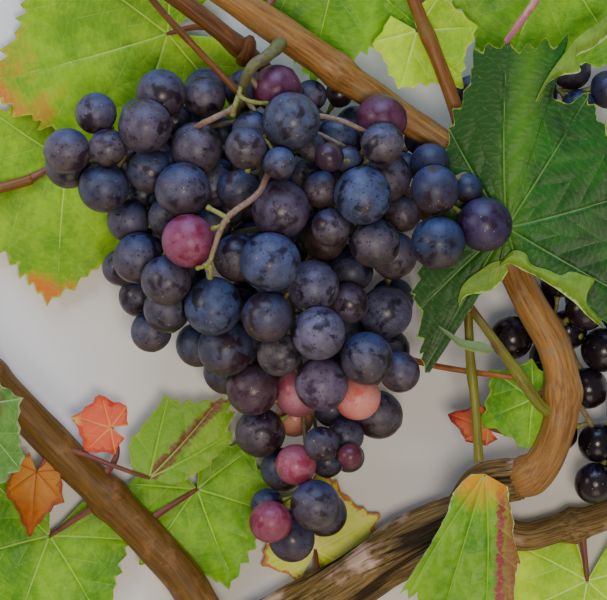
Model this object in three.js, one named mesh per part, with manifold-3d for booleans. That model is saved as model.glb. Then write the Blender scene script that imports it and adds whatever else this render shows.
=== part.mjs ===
// A cut piece of grapevine lying on its back: an old arm, the cane it bears with a ripening bunch,
// a second bunch, side shoots and leaves. Millimetres, +Z up, +Y towards the cane's tip.
import * as THREE from 'three';
import { mergeVertices } from 'three/addons/utils/BufferGeometryUtils.js';
import Module from 'manifold-3d';

const wasm = await Module();
wasm.setup();

// Driving dimensions
const ORIGIN_SHIFT = [3.1, 0.7, 0];
const CLEARANCE = 0.35;
const PRESSED = 0.95;
const SMOOTHING = 0.2;
const BERRY_FACETS = [[8, 4], [7, 4], [6, 4]];
const PEDICEL_RADIUS = 1.1;
const LATERAL_RADIUS = 1.3;
const DETOUR = 100;
const RACHIS_RADII = [2, 1.4];
const RING_STEP = 13;
const BACK_BERRY = { least: 13.5, most: 17.5, lowest: -80, highest: 72, rays: 420, seed: 21 };
const OPEN_PLACE = { x: -24, y: 30, radius: 15, above: 40 };
const FRONT_CURVE = { spread: 1.35, least: 0.1 };
const FILL_SEARCH = { innermost: 0.5, step: 0.1, hiding: 0.6 };
const LIMB_MARGIN = 1;
const SIDE_RAYS = 900;
const SIDE_STEP = 0.05;
const LEAF_THICKNESS = 1.5;
const LEAF_RAY_STEP = 5.5;
const LEAF_TEETH = [1.04, 0.94];
const LEAF_BAY = { depth: 0.19, power: 0.8, full: 45 };
const LEAF_WAVES = 5;
const PETIOLE_RADII = [1.4, 1.1];

// Colours and finish of each kind of piece
const FINISH = {
  bark: { color: 0x6d5340, roughness: 0.95 },
  cane: { color: 0xa5764a, roughness: 0.7 },
  green_wood: { color: 0x8f9a4b, roughness: 0.6 },
  stalk: { color: 0xa98a62, roughness: 0.7 },
  berry: { color: 0x3a3f66, roughness: 0.55 },
  dark_berry: { color: 0x2c2330, roughness: 0.4 },
  leaf: { color: 0x5f8a24, roughness: 0.55 },
  pale_leaf: { color: 0xa6c33c, roughness: 0.6 },
  red_leaf: { color: 0xb5562b, roughness: 0.7 },
};

// The main bunch is an egg of elliptical slices across its stalk, from the shoulders to the tail:
// height up the sheet, middle, half width, height of the middle above the ground, half depth.
const BUNCH_SLICES = [
  { y: 78, x: -10, halfWidth: 22, z: 40, halfDepth: 21 },
  { y: 52, x: -12, halfWidth: 50, z: 39, halfDepth: 35 },
  { y: 25, x: -10, halfWidth: 52, z: 38, halfDepth: 36 },
  { y: 0, x: -8, halfWidth: 46, z: 36, halfDepth: 34 },
  { y: -25, x: 3, halfWidth: 35, z: 31, halfDepth: 28 },
  { y: -50, x: 3, halfWidth: 21, z: 27, halfDepth: 19 },
  { y: -84, x: -3, halfWidth: 15, z: 24, halfDepth: 13 },
];

// The part bunches of the main bunch, front ones first. Each hangs on its own side stalk, and gives
// its berries from the front backwards as place across, place up and diameter. The wings and the tail
// stand clear of the egg, with a front of their own at the height top.
const PART_BUNCHES = [
  { name: 'bunch_heart',
    front: [[-11, 12.5, 20], [5, -11, 18], [3, 4.5, 18], [-7.5, 30, 19.5], [-12, -5.5, 17], [15, -1, 14]],
    behind: [[-22, 14, 16], [16, 9.5, 14.5]] },
  { name: 'bunch_right_top',
    front: [[19.5, 34.5, 19.5], [9, 24, 13], [6, 36.5, 12.5], [23.5, 19, 17], [26, 51.5, 14.5]],
    behind: [[27, 41, 17.5], [26, 60, 17], [2, 41, 12.5], [30, 15, 16], [7, 20.5, 15], [14.5, 46.5, 9.5],
      [8.5, 47, 10], [3, 50.5, 9.5]] },
  { name: 'bunch_left_middle',
    front: [[-38, 19.5, 18], [-45.5, 6.5, 17], [-55, 14, 17.5]],
    behind: [[-44.5, 27.5, 14.5], [-58.5, 26.5, 14.5], [-61, 11, 13], [-45.5, -3, 16], [-55.5, 1, 13.5],
      [-51, -10.5, 14]] },
  { name: 'bunch_left_low',
    front: [[-30, -2, 20], [-26, -16, 19]],
    behind: [[-35.5, -15, 15], [-26, -24, 15.5]] },
  { name: 'bunch_top',
    front: [[-4, 59, 19.5], [-8, 45, 11], [-19, 50, 14]],
    behind: [[-17, 56, 13.5], [-9, 70, 16.5], [-21.5, 36.5, 14.5]] },
  { name: 'bunch_right_low',
    front: [[21, -19.5, 18], [27.5, -4, 18]],
    behind: [[30, 0.5, 14.5], [29, -16.5, 14], [32, -24, 14]] },
  { name: 'bunch_low',
    front: [[6, -28, 18.5], [-8, -18, 15], [-17, -30, 17.5], [18, -32.5, 15.5], [-14.5, -44.5, 17]],
    behind: [[-1.5, -31, 17], [9.5, -36.5, 13], [25, -38.5, 17], [-3, -39.5, 13.5]] },
  { name: 'bunch_left_top',
    front: [[-40, 36.5, 18.5], [-35.5, 50.5, 17.5]],
    behind: [[-30, 38, 14], [-51, 43, 15]] },
  { name: 'bunch_left_wing', top: 62,
    front: [[-52.5, 57.5, 18], [-47.5, 68.5, 17], [-33, 67.5, 14.5], [-65, 50.5, 13], [-78.5, 49.5, 15.5],
      [-69, 62, 14], [-66.5, 37.5, 17]],
    behind: [[-78.5, 45, 16], [-55, 61, 13], [-33, 70.5, 15]] },
  { name: 'bunch_right_wing', top: 67,
    front: [[43.5, 36.5, 16.5], [44.5, 19, 18], [60, 25, 18.5]],
    behind: [[42, 45.5, 13.5], [54.5, 37, 10], [33, 29, 13]] },
  { name: 'bunch_tail', top: 47,
    front: [[6, -48, 12], [-2.5, -55, 14], [4, -68.5, 17.5], [-11, -74, 14.5]],
    behind: [[14, -45.5, 12.5], [8, -54, 11.5], [-7, -57, 15], [15.5, -52, 8.5], [-4, -80, 16]] },
];

// Woody limbs and green stems: the line of the middle, radius at the foot and at the tip
const LIMBS = [
  { name: 'arm_left', finish: 'bark', radius: [10.5, 9.5], sides: 10,
    line: [[-48, -133, 10.5], [-18, -116, 11], [12, -98, 12], [36, -83, 12.5], [56, -74, 13]] },
  { name: 'arm_right', finish: 'bark', radius: [5.6, 4.4], sides: 8,
    line: [[57, -74, 13], [74, -80, 11], [86, -77.3, 10.2], [91, -76.3, 10], [96, -75, 10],
      [119, -67, 9.5]] },
  { name: 'spur', finish: 'bark', radius: [8, 6.6], sides: 9,
    line: [[56, -71, 15], [61, -63, 20], [66, -61, 23], [73, -60, 26.5]] },
  { name: 'cane_bend_low', finish: 'cane', radius: [6.2, 6], sides: 9,
    line: [[73, -60, 26.5], [79.5, -55.5, 29.5], [85.5, -42, 34], [86.5, -28, 36]] },
  { name: 'cane_bend_high', finish: 'cane', radius: [5.8, 5], sides: 9,
    line: [[86.5, -28, 36], [83.5, -15, 36], [77, -3.4, 36], [69.5, 12, 35], [62, 31, 34], [57, 43, 34]] },
  { name: 'bearing_cane', finish: 'cane', radius: [4.6, 5.4], sides: 9,
    line: [[57, 43, 34], [49, 50, 34.5], [32, 62, 35.5], [14, 74.5, 39], [-5.5, 88, 44]] },
  { name: 'bearing_cane_tip', finish: 'cane', radius: [5.2, 4.6], sides: 9,
    line: [[-5.5, 88, 44], [-21, 98.5, 46], [-38, 110, 47], [-53, 120, 47]] },
  { name: 'top_shoot', finish: 'cane', radius: [2.6, 2.2], sides: 6,
    line: [[55, 45, 34.2], [52, 60, 36.5], [43.5, 83, 40], [37, 99, 41], [31, 116, 42]] },
  { name: 'low_cane', finish: 'cane', radius: [3, 3.4], sides: 6,
    line: [[73, 5, 35.5], [58, 17, 14], [34, 36, 4.5], [13, 55, 4], [-5, 69, 8], [-18, 82, 17], [-30, 92, 21],
      [-43, 102, 22], [-66, 118, 20]] },
  { name: 'left_cane', finish: 'cane', radius: [7, 6], sides: 9,
    line: [[-28, -122, 12], [-38, -98, 13], [-53, -80, 12], [-79, -54, 12], [-105, -27, 12],
      [-124, -8, 12]] },
  { name: 'left_shoot', finish: 'cane', radius: [2.6, 1.8], sides: 6,
    line: [[-121, -11, 12], [-124, 14, 13], [-113, 33, 12], [-92, 41, 9]] },
  { name: 'green_shoot', finish: 'green_wood', radius: [2.4, 1.5], sides: 6,
    line: [[86, -38, 34.5], [80, -36, 39], [73, -27, 43.5], [64, -14, 43], [54.5, -1, 39]] },
  { name: 'hanging_stem', finish: 'green_wood', radius: [1.5, 1.6], sides: 5,
    line: [[54.8, -1.5, 39], [55.5, -18, 40], [57.5, -38, 39.5], [58.5, -54, 38]] },
  { name: 'red_stem', finish: 'stalk', radius: [0.9, 1.1], sides: 4,
    line: [[72, -26, 43.5], [56, -24, 36.5], [44, -22, 33], [36, -20, 30]] },
];

// The stalk of the main bunch: out of the cane's node, over a knee, then down the middle
const RACHIS_LINE = [[-6, 87.5, 44], [-11, 81.5, 54], [-17, 77, 57], [-19.8, 71, 53], [-20.5, 66, 44],
  [-21, 60, 31], [-17, 50, 27], [-10, 27, 28], [-5, 0, 25], [-2, -18, 17]];

// The two other bunches: stalk from its cane into the middle of an egg of berries
const SIDE_BUNCHES = [
  { name: 'second_bunch_high', centre: [89, -10, 18.5], half: [29, 29, 18.5], berry: [13.5, 16], count: 20,
    stalk: [[79.5, -8, 36], [86, -7, 27], [92, -12, 18]], seed: 5 },
  { name: 'second_bunch_low', centre: [99, -48, 18], half: [22, 27, 18], berry: [13.5, 16], count: 17,
    stalk: [[86.3, -31, 35.8], [93, -36, 27], [99, -46, 17]], seed: 11 },
  { name: 'upper_bunch', centre: [80, 70, 16], half: [32, 20, 14], berry: [12, 14], count: 9,
    stalk: [[52.3, 58, 36.3], [64, 67, 28], [80, 71, 17]], seed: 3 },
];

// A full leaf has five lobes and two at the foot: angle off the midrib and length of the vein
const FIVE_LOBES = [[-158, 0.45], [-112, 0.68], [-56, 0.88], [0, 1], [56, 0.88], [112, 0.68], [158, 0.45]];
const FOLDED_LOBES = [[-150, 0.35], [-105, 0.42], [-50, 0.6], [0, 1], [50, 0.6], [105, 0.42], [150, 0.35]];
const BIG_LOBES = [[-178, 0.28], [-162, 0.18], [-140, 0.24], [-126, 0.32], [-120, 0.74], [-105, 0.8],
  [-64, 0.95], [-29, 0.72], [-18, 0.79], [-10, 0.68], [-5.5, 0.72], [-5, 0.99], [1.4, 0.96], [14, 0.93],
  [20, 0.92], [24, 0.88], [28, 0.74], [37, 0.65], [46, 0.54], [58, 0.5], [105, 0.42], [140, 0.6],
  [155, 0.7], [160, 0.79], [165, 0.82], [168, 0.5], [171, 0.37], [180, 0.3]];
const HANGING_LOBES = [[-94, 0.08], [-75, 0.15], [-60, 0.25], [-48, 0.34], [-43, 0.5], [-40.5, 0.85],
  [-20, 0.96], [0, 1], [9, 0.74], [13, 0.62], [17, 0.57], [19, 0.42], [26, 0.34], [36, 0.22], [56, 0.16]];
const TURNED_LOBES = [[-62, 0.2], [-48, 0.3], [-19, 0.8], [0, 1], [34, 0.72], [78, 0.34], [112, 0.16]];

// Leaves: foot of the blade, direction of the midrib, reach, tilt along and across it, droop of the rim
const LEAVES = [
  { name: 'leaf_big', at: [67.5, 24, 47], midrib: 77, reach: 67, pitch: -2, roll: -4, droop: 0.05,
    wave: 0.03, lobes: BIG_LOBES, rays: 72, finish: 'leaf',
    petiole: [[54.7, -1.2, 39], [54.5, 8, 38.5], [59, 19, 42]] },
  { name: 'leaf_left_high', at: [-46, 90, 11], midrib: 198, reach: 66, pitch: 0, roll: 2, droop: 0.05,
    wave: 0.04, lobes: FIVE_LOBES, finish: 'pale_leaf', petiole: [[-30, 92, 21], [-38, 92, 14]] },
  { name: 'leaf_left_low', at: [-80, 47, 7], midrib: 262, reach: 50, pitch: 0, roll: 0, droop: 0.04,
    wave: 0.04, lobes: FIVE_LOBES, finish: 'pale_leaf', petiole: [[-93, 40.7, 9], [-87, 44, 8]] },
  { name: 'leaf_top', at: [12, 116, 28], midrib: 258, reach: 45, pitch: 0, roll: 0, droop: 0.06,
    wave: 0.05, lobes: FIVE_LOBES, finish: 'pale_leaf', petiole: [[-14, 94, 45.3], [-5, 107, 37]] },
  { name: 'leaf_top_right', at: [85, 116, 25], midrib: 243, reach: 50, pitch: 0, roll: 0, droop: 0.05,
    wave: 0.04, lobes: FIVE_LOBES, finish: 'leaf', petiole: [[37, 99, 41], [55, 111, 37]] },
  { name: 'leaf_lime', at: [38, 90, 33.5], midrib: 308, reach: 24, pitch: 0, roll: 0, droop: 0.05,
    wave: 0.05, lobes: FIVE_LOBES, finish: 'pale_leaf', petiole: [[40, 91.5, 40.6], [39.5, 91, 37]] },
  { name: 'leaf_hanging', at: [60.5, -58, 39], midrib: 275, reach: 58, pitch: 0, roll: -8, droop: 0.08,
    wave: 0.04, lobes: HANGING_LOBES, rays: 30, finish: 'leaf', petiole: [[61, -63, 20], [59.5, -59, 33]] },
  { name: 'leaf_low_right', at: [96, -95, 9], midrib: 262, reach: 40, pitch: 0, roll: 0, droop: 0.05,
    wave: 0.05, lobes: FIVE_LOBES, finish: 'pale_leaf', petiole: [[94, -77, 10], [95.5, -90, 10]] },
  { name: 'leaf_left_edge', at: [-113, -36, 26], midrib: 264, reach: 46, pitch: 0, roll: 8, droop: 0.06,
    wave: 0.05, lobes: FOLDED_LOBES, finish: 'leaf', petiole: [[-106, -26, 12], [-110, -31, 21]] },
  { name: 'leaf_left_bottom', at: [-86, -80, 6], midrib: 248, reach: 42, pitch: 0, roll: 0, droop: 0.05,
    wave: 0.05, lobes: FIVE_LOBES, finish: 'pale_leaf', petiole: [[-66, -67, 12], [-77, -74, 9]] },
  { name: 'leaf_mid_left', at: [-52, -60, 15], midrib: 44, reach: 40, pitch: 0, roll: 4, droop: 0.06,
    wave: 0.05, lobes: TURNED_LOBES, rays: 20, finish: 'leaf',
    petiole: [[-81, -50, 13], [-74, -52, 19.5], [-58, -58, 18]] },
  { name: 'leaf_low_middle', at: [-36, -64, 8.5], midrib: 288, reach: 36, pitch: 0, roll: 0, droop: 0.04,
    wave: 0.05, lobes: FIVE_LOBES, finish: 'leaf', petiole: [[-56, -77, 12], [-47, -71, 11]] },
  { name: 'leaf_yellow', at: [4, -85, 4.2], midrib: 84, reach: 28, pitch: 0, roll: 0, droop: 0.04,
    wave: 0.05, lobes: FIVE_LOBES, finish: 'pale_leaf', petiole: [[8, -100, 12], [4.5, -90, 6]] },
  { name: 'leaf_orange', at: [-65, -43, 16], midrib: 165, reach: 14, pitch: 0, roll: 6, droop: 0.08,
    wave: 0.1, lobes: FIVE_LOBES, finish: 'red_leaf', petiole: [[-70, -63, 12], [-63, -52, 15]] },
  { name: 'leaf_brown', at: [-90, -58, 14], midrib: 262, reach: 22, pitch: 0, roll: 8, droop: 0.08,
    wave: 0.08, lobes: FOLDED_LOBES, finish: 'red_leaf', petiole: [[-84, -49, 12], [-88, -55, 14]] },
  { name: 'leaf_small', at: [77, -33, 31], midrib: 205, reach: 20, pitch: 0, roll: 6, droop: 0.08,
    wave: 0.08, lobes: FIVE_LOBES, finish: 'leaf', petiole: [[85.5, -24, 36], [81, -30, 32.5]] },
  { name: 'leaf_red', at: [62, -43, 24], midrib: 160, reach: 15, pitch: 0, roll: 10, droop: 0.1,
    wave: 0.1, lobes: FOLDED_LOBES, finish: 'red_leaf', petiole: [[84.5, -47, 32], [74, -46, 26]] },
];

// Pseudo-random numbers from 0 to 1, the same each time for one seed
function random(seed) {
  let state = seed;
  return () => {
    state = (state * 16807) % 2147483647;
    return state / 2147483647;
  };
}

function closedSolid(geometry) {
  const bare = geometry.clone();
  bare.deleteAttribute('normal');
  bare.deleteAttribute('uv');
  const merged = mergeVertices(bare, 1e-4);
  const mesh = new wasm.Mesh({
    numProp: 3,
    vertProperties: merged.attributes.position.array,
    triVerts: new Uint32Array(merged.index.array),
  });
  return new wasm.Manifold(mesh);
}

// A tapering tube with flat ends along a smooth line; rings of vertices joined by triangles. Grown, it is
// thicker and longer by that much all round.
function tube(line, radii, sides, grow = 0) {
  const points = line.map((place) => new THREE.Vector3(...place));
  const last = points.length - 1;
  const footwards = points[0].clone().sub(points[1]).setLength(grow);
  const tipwards = points[last].clone().sub(points[last - 1]).setLength(grow);
  points[0].add(footwards);
  points[last].add(tipwards);
  const curve = new THREE.CatmullRomCurve3(points, false, 'centripetal');
  const steps = Math.max(1, Math.round(curve.getLength() / RING_STEP));
  const frames = curve.computeFrenetFrames(steps, false);
  const position = [];
  const index = [];
  for (let ring = 0; ring <= steps; ring += 1) {
    const centre = curve.getPointAt(ring / steps);
    const radius = grow + THREE.MathUtils.lerp(radii[0], radii[1], ring / steps);
    for (let side = 0; side < sides; side += 1) {
      const angle = (2 * Math.PI * side) / sides;
      const spoke = frames.normals[ring].clone().multiplyScalar(Math.cos(angle));
      spoke.addScaledVector(frames.binormals[ring], Math.sin(angle));
      position.push(...centre.clone().addScaledVector(spoke, radius).toArray());
      const next = (side + 1) % sides;
      if (ring < steps) {
        const low = ring * sides;
        index.push(low + side, low + next, low + sides + next);
        index.push(low + side, low + sides + next, low + sides + side);
      }
    }
  }
  for (let side = 1; side < sides - 1; side += 1) {
    const top = steps * sides;
    index.push(0, side + 1, side);
    index.push(top, top + side, top + side + 1);
  }
  const geometry = new THREE.BufferGeometry();
  geometry.setAttribute('position', new THREE.Float32BufferAttribute(position, 3));
  geometry.setIndex(index);
  return geometry;
}

function berrySolid(berry, grow = 0) {
  const [around, down] = BERRY_FACETS[berry.layer];
  const shape = new THREE.SphereGeometry(PRESSED * berry.r + grow, around, down).rotateX(Math.PI / 2);
  return closedSolid(shape.translate(berry.x, berry.y, berry.z));
}

// Nearest point to a place on a line of points
function nearestOn(line, place) {
  const best = { distance: Infinity, point: null };
  for (let i = 0; i + 1 < line.length; i += 1) {
    const segment = new THREE.Line3(new THREE.Vector3(...line[i]), new THREE.Vector3(...line[i + 1]));
    const point = segment.closestPointToPoint(place, true, new THREE.Vector3());
    const distance = point.distanceTo(place);
    if (distance < best.distance) {
      best.distance = distance;
      best.point = point;
    }
  }
  return best;
}

// Size of the slice of the main bunch at a height up the sheet, between the two slices next to it
function sliceAt(y) {
  const last = BUNCH_SLICES.length - 1;
  const below = BUNCH_SLICES.findIndex((slice) => slice.y <= y);
  const i = below < 1 ? (below === 0 ? 1 : last) : below;
  const upper = BUNCH_SLICES[i - 1];
  const lower = BUNCH_SLICES[i];
  const t = THREE.MathUtils.clamp((upper.y - y) / (upper.y - lower.y), 0, 1);
  const mix = (key) => THREE.MathUtils.lerp(upper[key], lower[key], t);
  return { x: mix('x'), halfWidth: mix('halfWidth'), z: mix('z'), halfDepth: mix('halfDepth') };
}

// Height of the bunch's front over a place
function frontAt(x, y) {
  const slice = sliceAt(y);
  const across = (x - slice.x) / (FRONT_CURVE.spread * slice.halfWidth);
  return slice.z + slice.halfDepth * Math.sqrt(Math.max(FRONT_CURVE.least, 1 - across * across));
}

// Berries press into each other, so a solid is the berry without its pressed skin. Their middles keep
// this far apart.
function reachOf(one, other) {
  return PRESSED * (one.r + other.r) + (one.owner === other.owner ? 0 : CLEARANCE);
}

// How far behind another berry one has to lie to fit, or 0 where they pass side by side
function stepBehind(berry, other) {
  const apart = Math.hypot(berry.x - other.x, berry.y - other.y);
  return Math.sqrt(Math.max(0, reachOf(berry, other) ** 2 - apart ** 2));
}

// Berries seen from the front: each comes forward until it meets those in front of it or the front.
// Those of the first layer lie behind each other in their order, and the second layer fits behind them.
const berries = [];
function placeFromFront(part, [x, y, diameter], layer) {
  const r = diameter / 2;
  const berry = { owner: part.name, x, y, z: (part.top ?? frontAt(x, y)) - r, r, layer };
  for (const other of berries.filter((b) => b.layer === 0)) {
    const step = stepBehind(berry, other);
    if (step > 0) berry.z = Math.min(berry.z, other.z - step);
  }
  for (const other of berries.filter((b) => b.layer === 1).sort((a, b) => b.z - a.z)) {
    const step = stepBehind(berry, other);
    if (Math.abs(berry.z - other.z) < step) berry.z = other.z - step;
  }
  berry.z = Math.max(berry.z, r);
  berries.push(berry);
}
for (const [layer, row] of ['front', 'behind'].entries()) {
  for (const part of PART_BUNCHES) part[row].forEach((berry) => placeFromFront(part, berry, layer));
}

function clearOfLimbs(x, y, z, r) {
  const place = new THREE.Vector3(x, y, z);
  const limbs = LIMBS.map((limb) => ({ line: limb.line, radius: Math.max(...limb.radius) }));
  limbs.push({ line: RACHIS_LINE, radius: RACHIS_RADII[0] });
  return limbs.every((limb) => nearestOn(limb.line, place).distance > r + limb.radius + LIMB_MARGIN);
}

// The rest of the bunch, sides and back: on rays from its middle line, at random heights and turns, a
// berry goes where it first finds room from the skin of the egg inwards. The place where a bare branch
// shows between the front berries stays open.
const next = random(BACK_BERRY.seed);
function fillRay() {
  const r = THREE.MathUtils.lerp(BACK_BERRY.least, BACK_BERRY.most, next()) / 2;
  const y = THREE.MathUtils.lerp(BACK_BERRY.lowest, BACK_BERRY.highest, next());
  const turn = 2 * Math.PI * next();
  const slice = sliceAt(y);
  for (let out = 1; out > FILL_SEARCH.innermost; out -= FILL_SEARCH.step) {
    const x = slice.x + out * Math.cos(turn) * (slice.halfWidth - r);
    const z = Math.max(r, slice.z + out * Math.sin(turn) * (slice.halfDepth - r));
    const skinTo = (b) => Math.hypot(x - b.x, y - b.y, z - b.z) - b.r;
    const nearest = berries.reduce((a, b) => (skinTo(b) < skinTo(a) ? b : a));
    const berry = { owner: nearest.owner, x, y, z, r, layer: 2 };
    const room = berries.every((b) => skinTo(b) + b.r > reachOf(berry, b)) && clearOfLimbs(x, y, z, r);
    const hides = berries.some((b) => b.layer < 2 && b.z < z
      && Math.hypot(x - b.x, y - b.y) < FILL_SEARCH.hiding * b.r);
    const opens = z > OPEN_PLACE.above && Math.hypot(x - OPEN_PLACE.x, y - OPEN_PLACE.y) < OPEN_PLACE.radius;
    if (room && !hides && !opens) {
      berries.push(berry);
      return;
    }
  }
}
for (let ray = 0; ray < BACK_BERRY.rays; ray += 1) fillRay();

const vine = new THREE.Group();
vine.position.set(...ORIGIN_SHIFT);

function addSolid(name, solid, finish) {
  const { numProp, vertProperties, triVerts } = solid.getMesh();
  const geometry = new THREE.BufferGeometry();
  const position = new Float32Array((vertProperties.length / numProp) * 3);
  for (let i = 0; i < position.length / 3; i += 1) {
    for (let axis = 0; axis < 3; axis += 1) position[3 * i + axis] = vertProperties[numProp * i + axis];
  }
  geometry.setAttribute('position', new THREE.BufferAttribute(position, 3));
  geometry.setIndex(new THREE.BufferAttribute(new Uint32Array(triVerts), 1));
  const mesh = new THREE.Mesh(geometry, new THREE.MeshStandardMaterial(FINISH[finish]));
  mesh.name = name;
  vine.add(mesh);
}

// The largest piece of a solid, without the scraps and sealed hollows that a cut leaves
function mainPiece(solid) {
  return solid.simplify(SMOOTHING).decompose().reduce((a, b) => (b.volume() > a.volume() ? b : a));
}

// Space already taken, by owner: what is fused later is cut clear of it
const taken = [];
function take(owner, solid) {
  taken.push({ owner, solid });
}
function cutClear(owner, solid) {
  const others = taken.filter((claim) => claim.owner !== owner).map((claim) => claim.solid);
  return others.length > 0 ? solid.subtract(wasm.Manifold.union(others)) : solid;
}

// A limb starts inside what carries it and is cut clear of it there
for (const limb of LIMBS) {
  const whole = closedSolid(tube(limb.line, limb.radius, limb.sides));
  addSolid(limb.name, mainPiece(cutClear(limb.name, whole)), limb.finish);
  take(limb.name, closedSolid(tube(limb.line, limb.radius, limb.sides, CLEARANCE)));
}
const rachisWhole = closedSolid(tube(RACHIS_LINE, RACHIS_RADII, 6));
addSolid('rachis', mainPiece(cutClear('rachis', rachisWhole)), 'stalk');
take('rachis', closedSolid(tube(RACHIS_LINE, RACHIS_RADII, 6, CLEARANCE)));

// Whether a straight twig would cross a berry of another part bunch
function crosses(from, to, owner) {
  return berries.some((berry) => berry.owner !== owner
    && nearestOn([from.toArray(), to.toArray()], new THREE.Vector3(berry.x, berry.y, berry.z)).distance
      < PRESSED * berry.r + CLEARANCE);
}

// A part bunch in one piece: its stalk branches from berry to berry, each time to the one that is
// easiest to reach from what already hangs together, and is cut clear of the other part bunches
function addBunch(name, owned, stalkLine, finish) {
  const stems = [tube(stalkLine, [LATERAL_RADIUS, LATERAL_RADIUS], 5)];
  const spaces = [tube(stalkLine, [LATERAL_RADIUS, LATERAL_RADIUS], 5, CLEARANCE)];
  const waiting = owned.map((berry) => {
    const centre = new THREE.Vector3(berry.x, berry.y, berry.z);
    return { berry, centre, effort: Infinity };
  });
  const offer = (point, skin) => waiting.forEach((place) => {
    const gap = point.distanceTo(place.centre) - skin - place.berry.r;
    const effort = gap + (crosses(point, place.centre, name) ? DETOUR : 0);
    if (effort < place.effort) Object.assign(place, { effort, from: point });
  });
  waiting.forEach((place) => offer(nearestOn(stalkLine, place.centre).point, 0));
  while (waiting.length > 0) {
    waiting.sort((a, b) => a.effort - b.effort);
    const { berry, centre, from } = waiting.shift();
    if (from.distanceTo(centre) > 0.5 * berry.r) {
      const line = [from.toArray(), centre.toArray()];
      stems.push(tube(line, [PEDICEL_RADIUS, PEDICEL_RADIUS], 3));
      spaces.push(tube(line, [PEDICEL_RADIUS, PEDICEL_RADIUS], 3, CLEARANCE));
    }
    offer(centre, berry.r);
  }
  const clear = cutClear(name, wasm.Manifold.union(stems.map(closedSolid)));
  const fused = wasm.Manifold.union([clear, ...owned.map((berry) => berrySolid(berry))]);
  addSolid(name, mainPiece(fused), finish);
  take(name, wasm.Manifold.union(spaces.map(closedSolid)));
}

for (const berry of berries) take(berry.owner, berrySolid(berry, CLEARANCE));
for (const part of PART_BUNCHES) {
  const owned = berries.filter((berry) => berry.owner === part.name);
  const middle = new THREE.Vector3();
  owned.forEach((berry) => middle.add(new THREE.Vector3(berry.x, berry.y, berry.z)));
  middle.divideScalar(owned.length);
  const root = nearestOn(RACHIS_LINE, middle).point;
  addBunch(part.name, owned, [root.toArray(), middle.toArray()], 'berry');
}

// A side bunch is an egg of berries: on rays from its middle, each goes where it first finds room
for (const bunch of SIDE_BUNCHES) {
  const draw = random(bunch.seed);
  const owned = [];
  for (let ray = 0; ray < SIDE_RAYS && owned.length < bunch.count; ray += 1) {
    const r = THREE.MathUtils.lerp(bunch.berry[0], bunch.berry[1], draw()) / 2;
    const turn = 2 * Math.PI * draw();
    const rise = 2 * draw() - 1;
    const ring = Math.sqrt(1 - rise * rise);
    for (let out = 0; out <= 1; out += SIDE_STEP) {
      const x = bunch.centre[0] + out * ring * Math.cos(turn) * (bunch.half[0] - r);
      const y = bunch.centre[1] + out * ring * Math.sin(turn) * (bunch.half[1] - r);
      const z = Math.max(r, bunch.centre[2] + out * rise * (bunch.half[2] - r));
      const berry = { owner: bunch.name, x, y, z, r, layer: 2 };
      const fits = (b) => Math.hypot(x - b.x, y - b.y, z - b.z) > reachOf(berry, b);
      if (owned.every(fits) && berries.every(fits) && clearOfLimbs(x, y, z, r)) {
        owned.push(berry);
        break;
      }
    }
  }
  owned.forEach((berry) => take(bunch.name, berrySolid(berry, CLEARANCE)));
  owned.forEach((berry) => berries.push(berry));
  addBunch(bunch.name, owned, bunch.stalk, 'dark_berry');
}

// Reach of a blade at an angle off its midrib: the veins' lengths, joined by bays, shallow where veins are
// less than LEAF_BAY.full degrees apart
function leafReach(lobes, angle) {
  const i = Math.min(Math.max(lobes.findIndex(([a]) => a >= angle), 1), lobes.length - 1);
  const [fromAngle, from] = lobes[i - 1];
  const [toAngle, to] = lobes[i];
  const t = (angle - fromAngle) / (toAngle - fromAngle);
  const width = Math.min(1, (toAngle - fromAngle) / LEAF_BAY.full);
  const bay = LEAF_BAY.depth * width * Math.sin(Math.PI * t) ** LEAF_BAY.power;
  return THREE.MathUtils.lerp(from, to, t) * (1 - bay);
}

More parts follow.
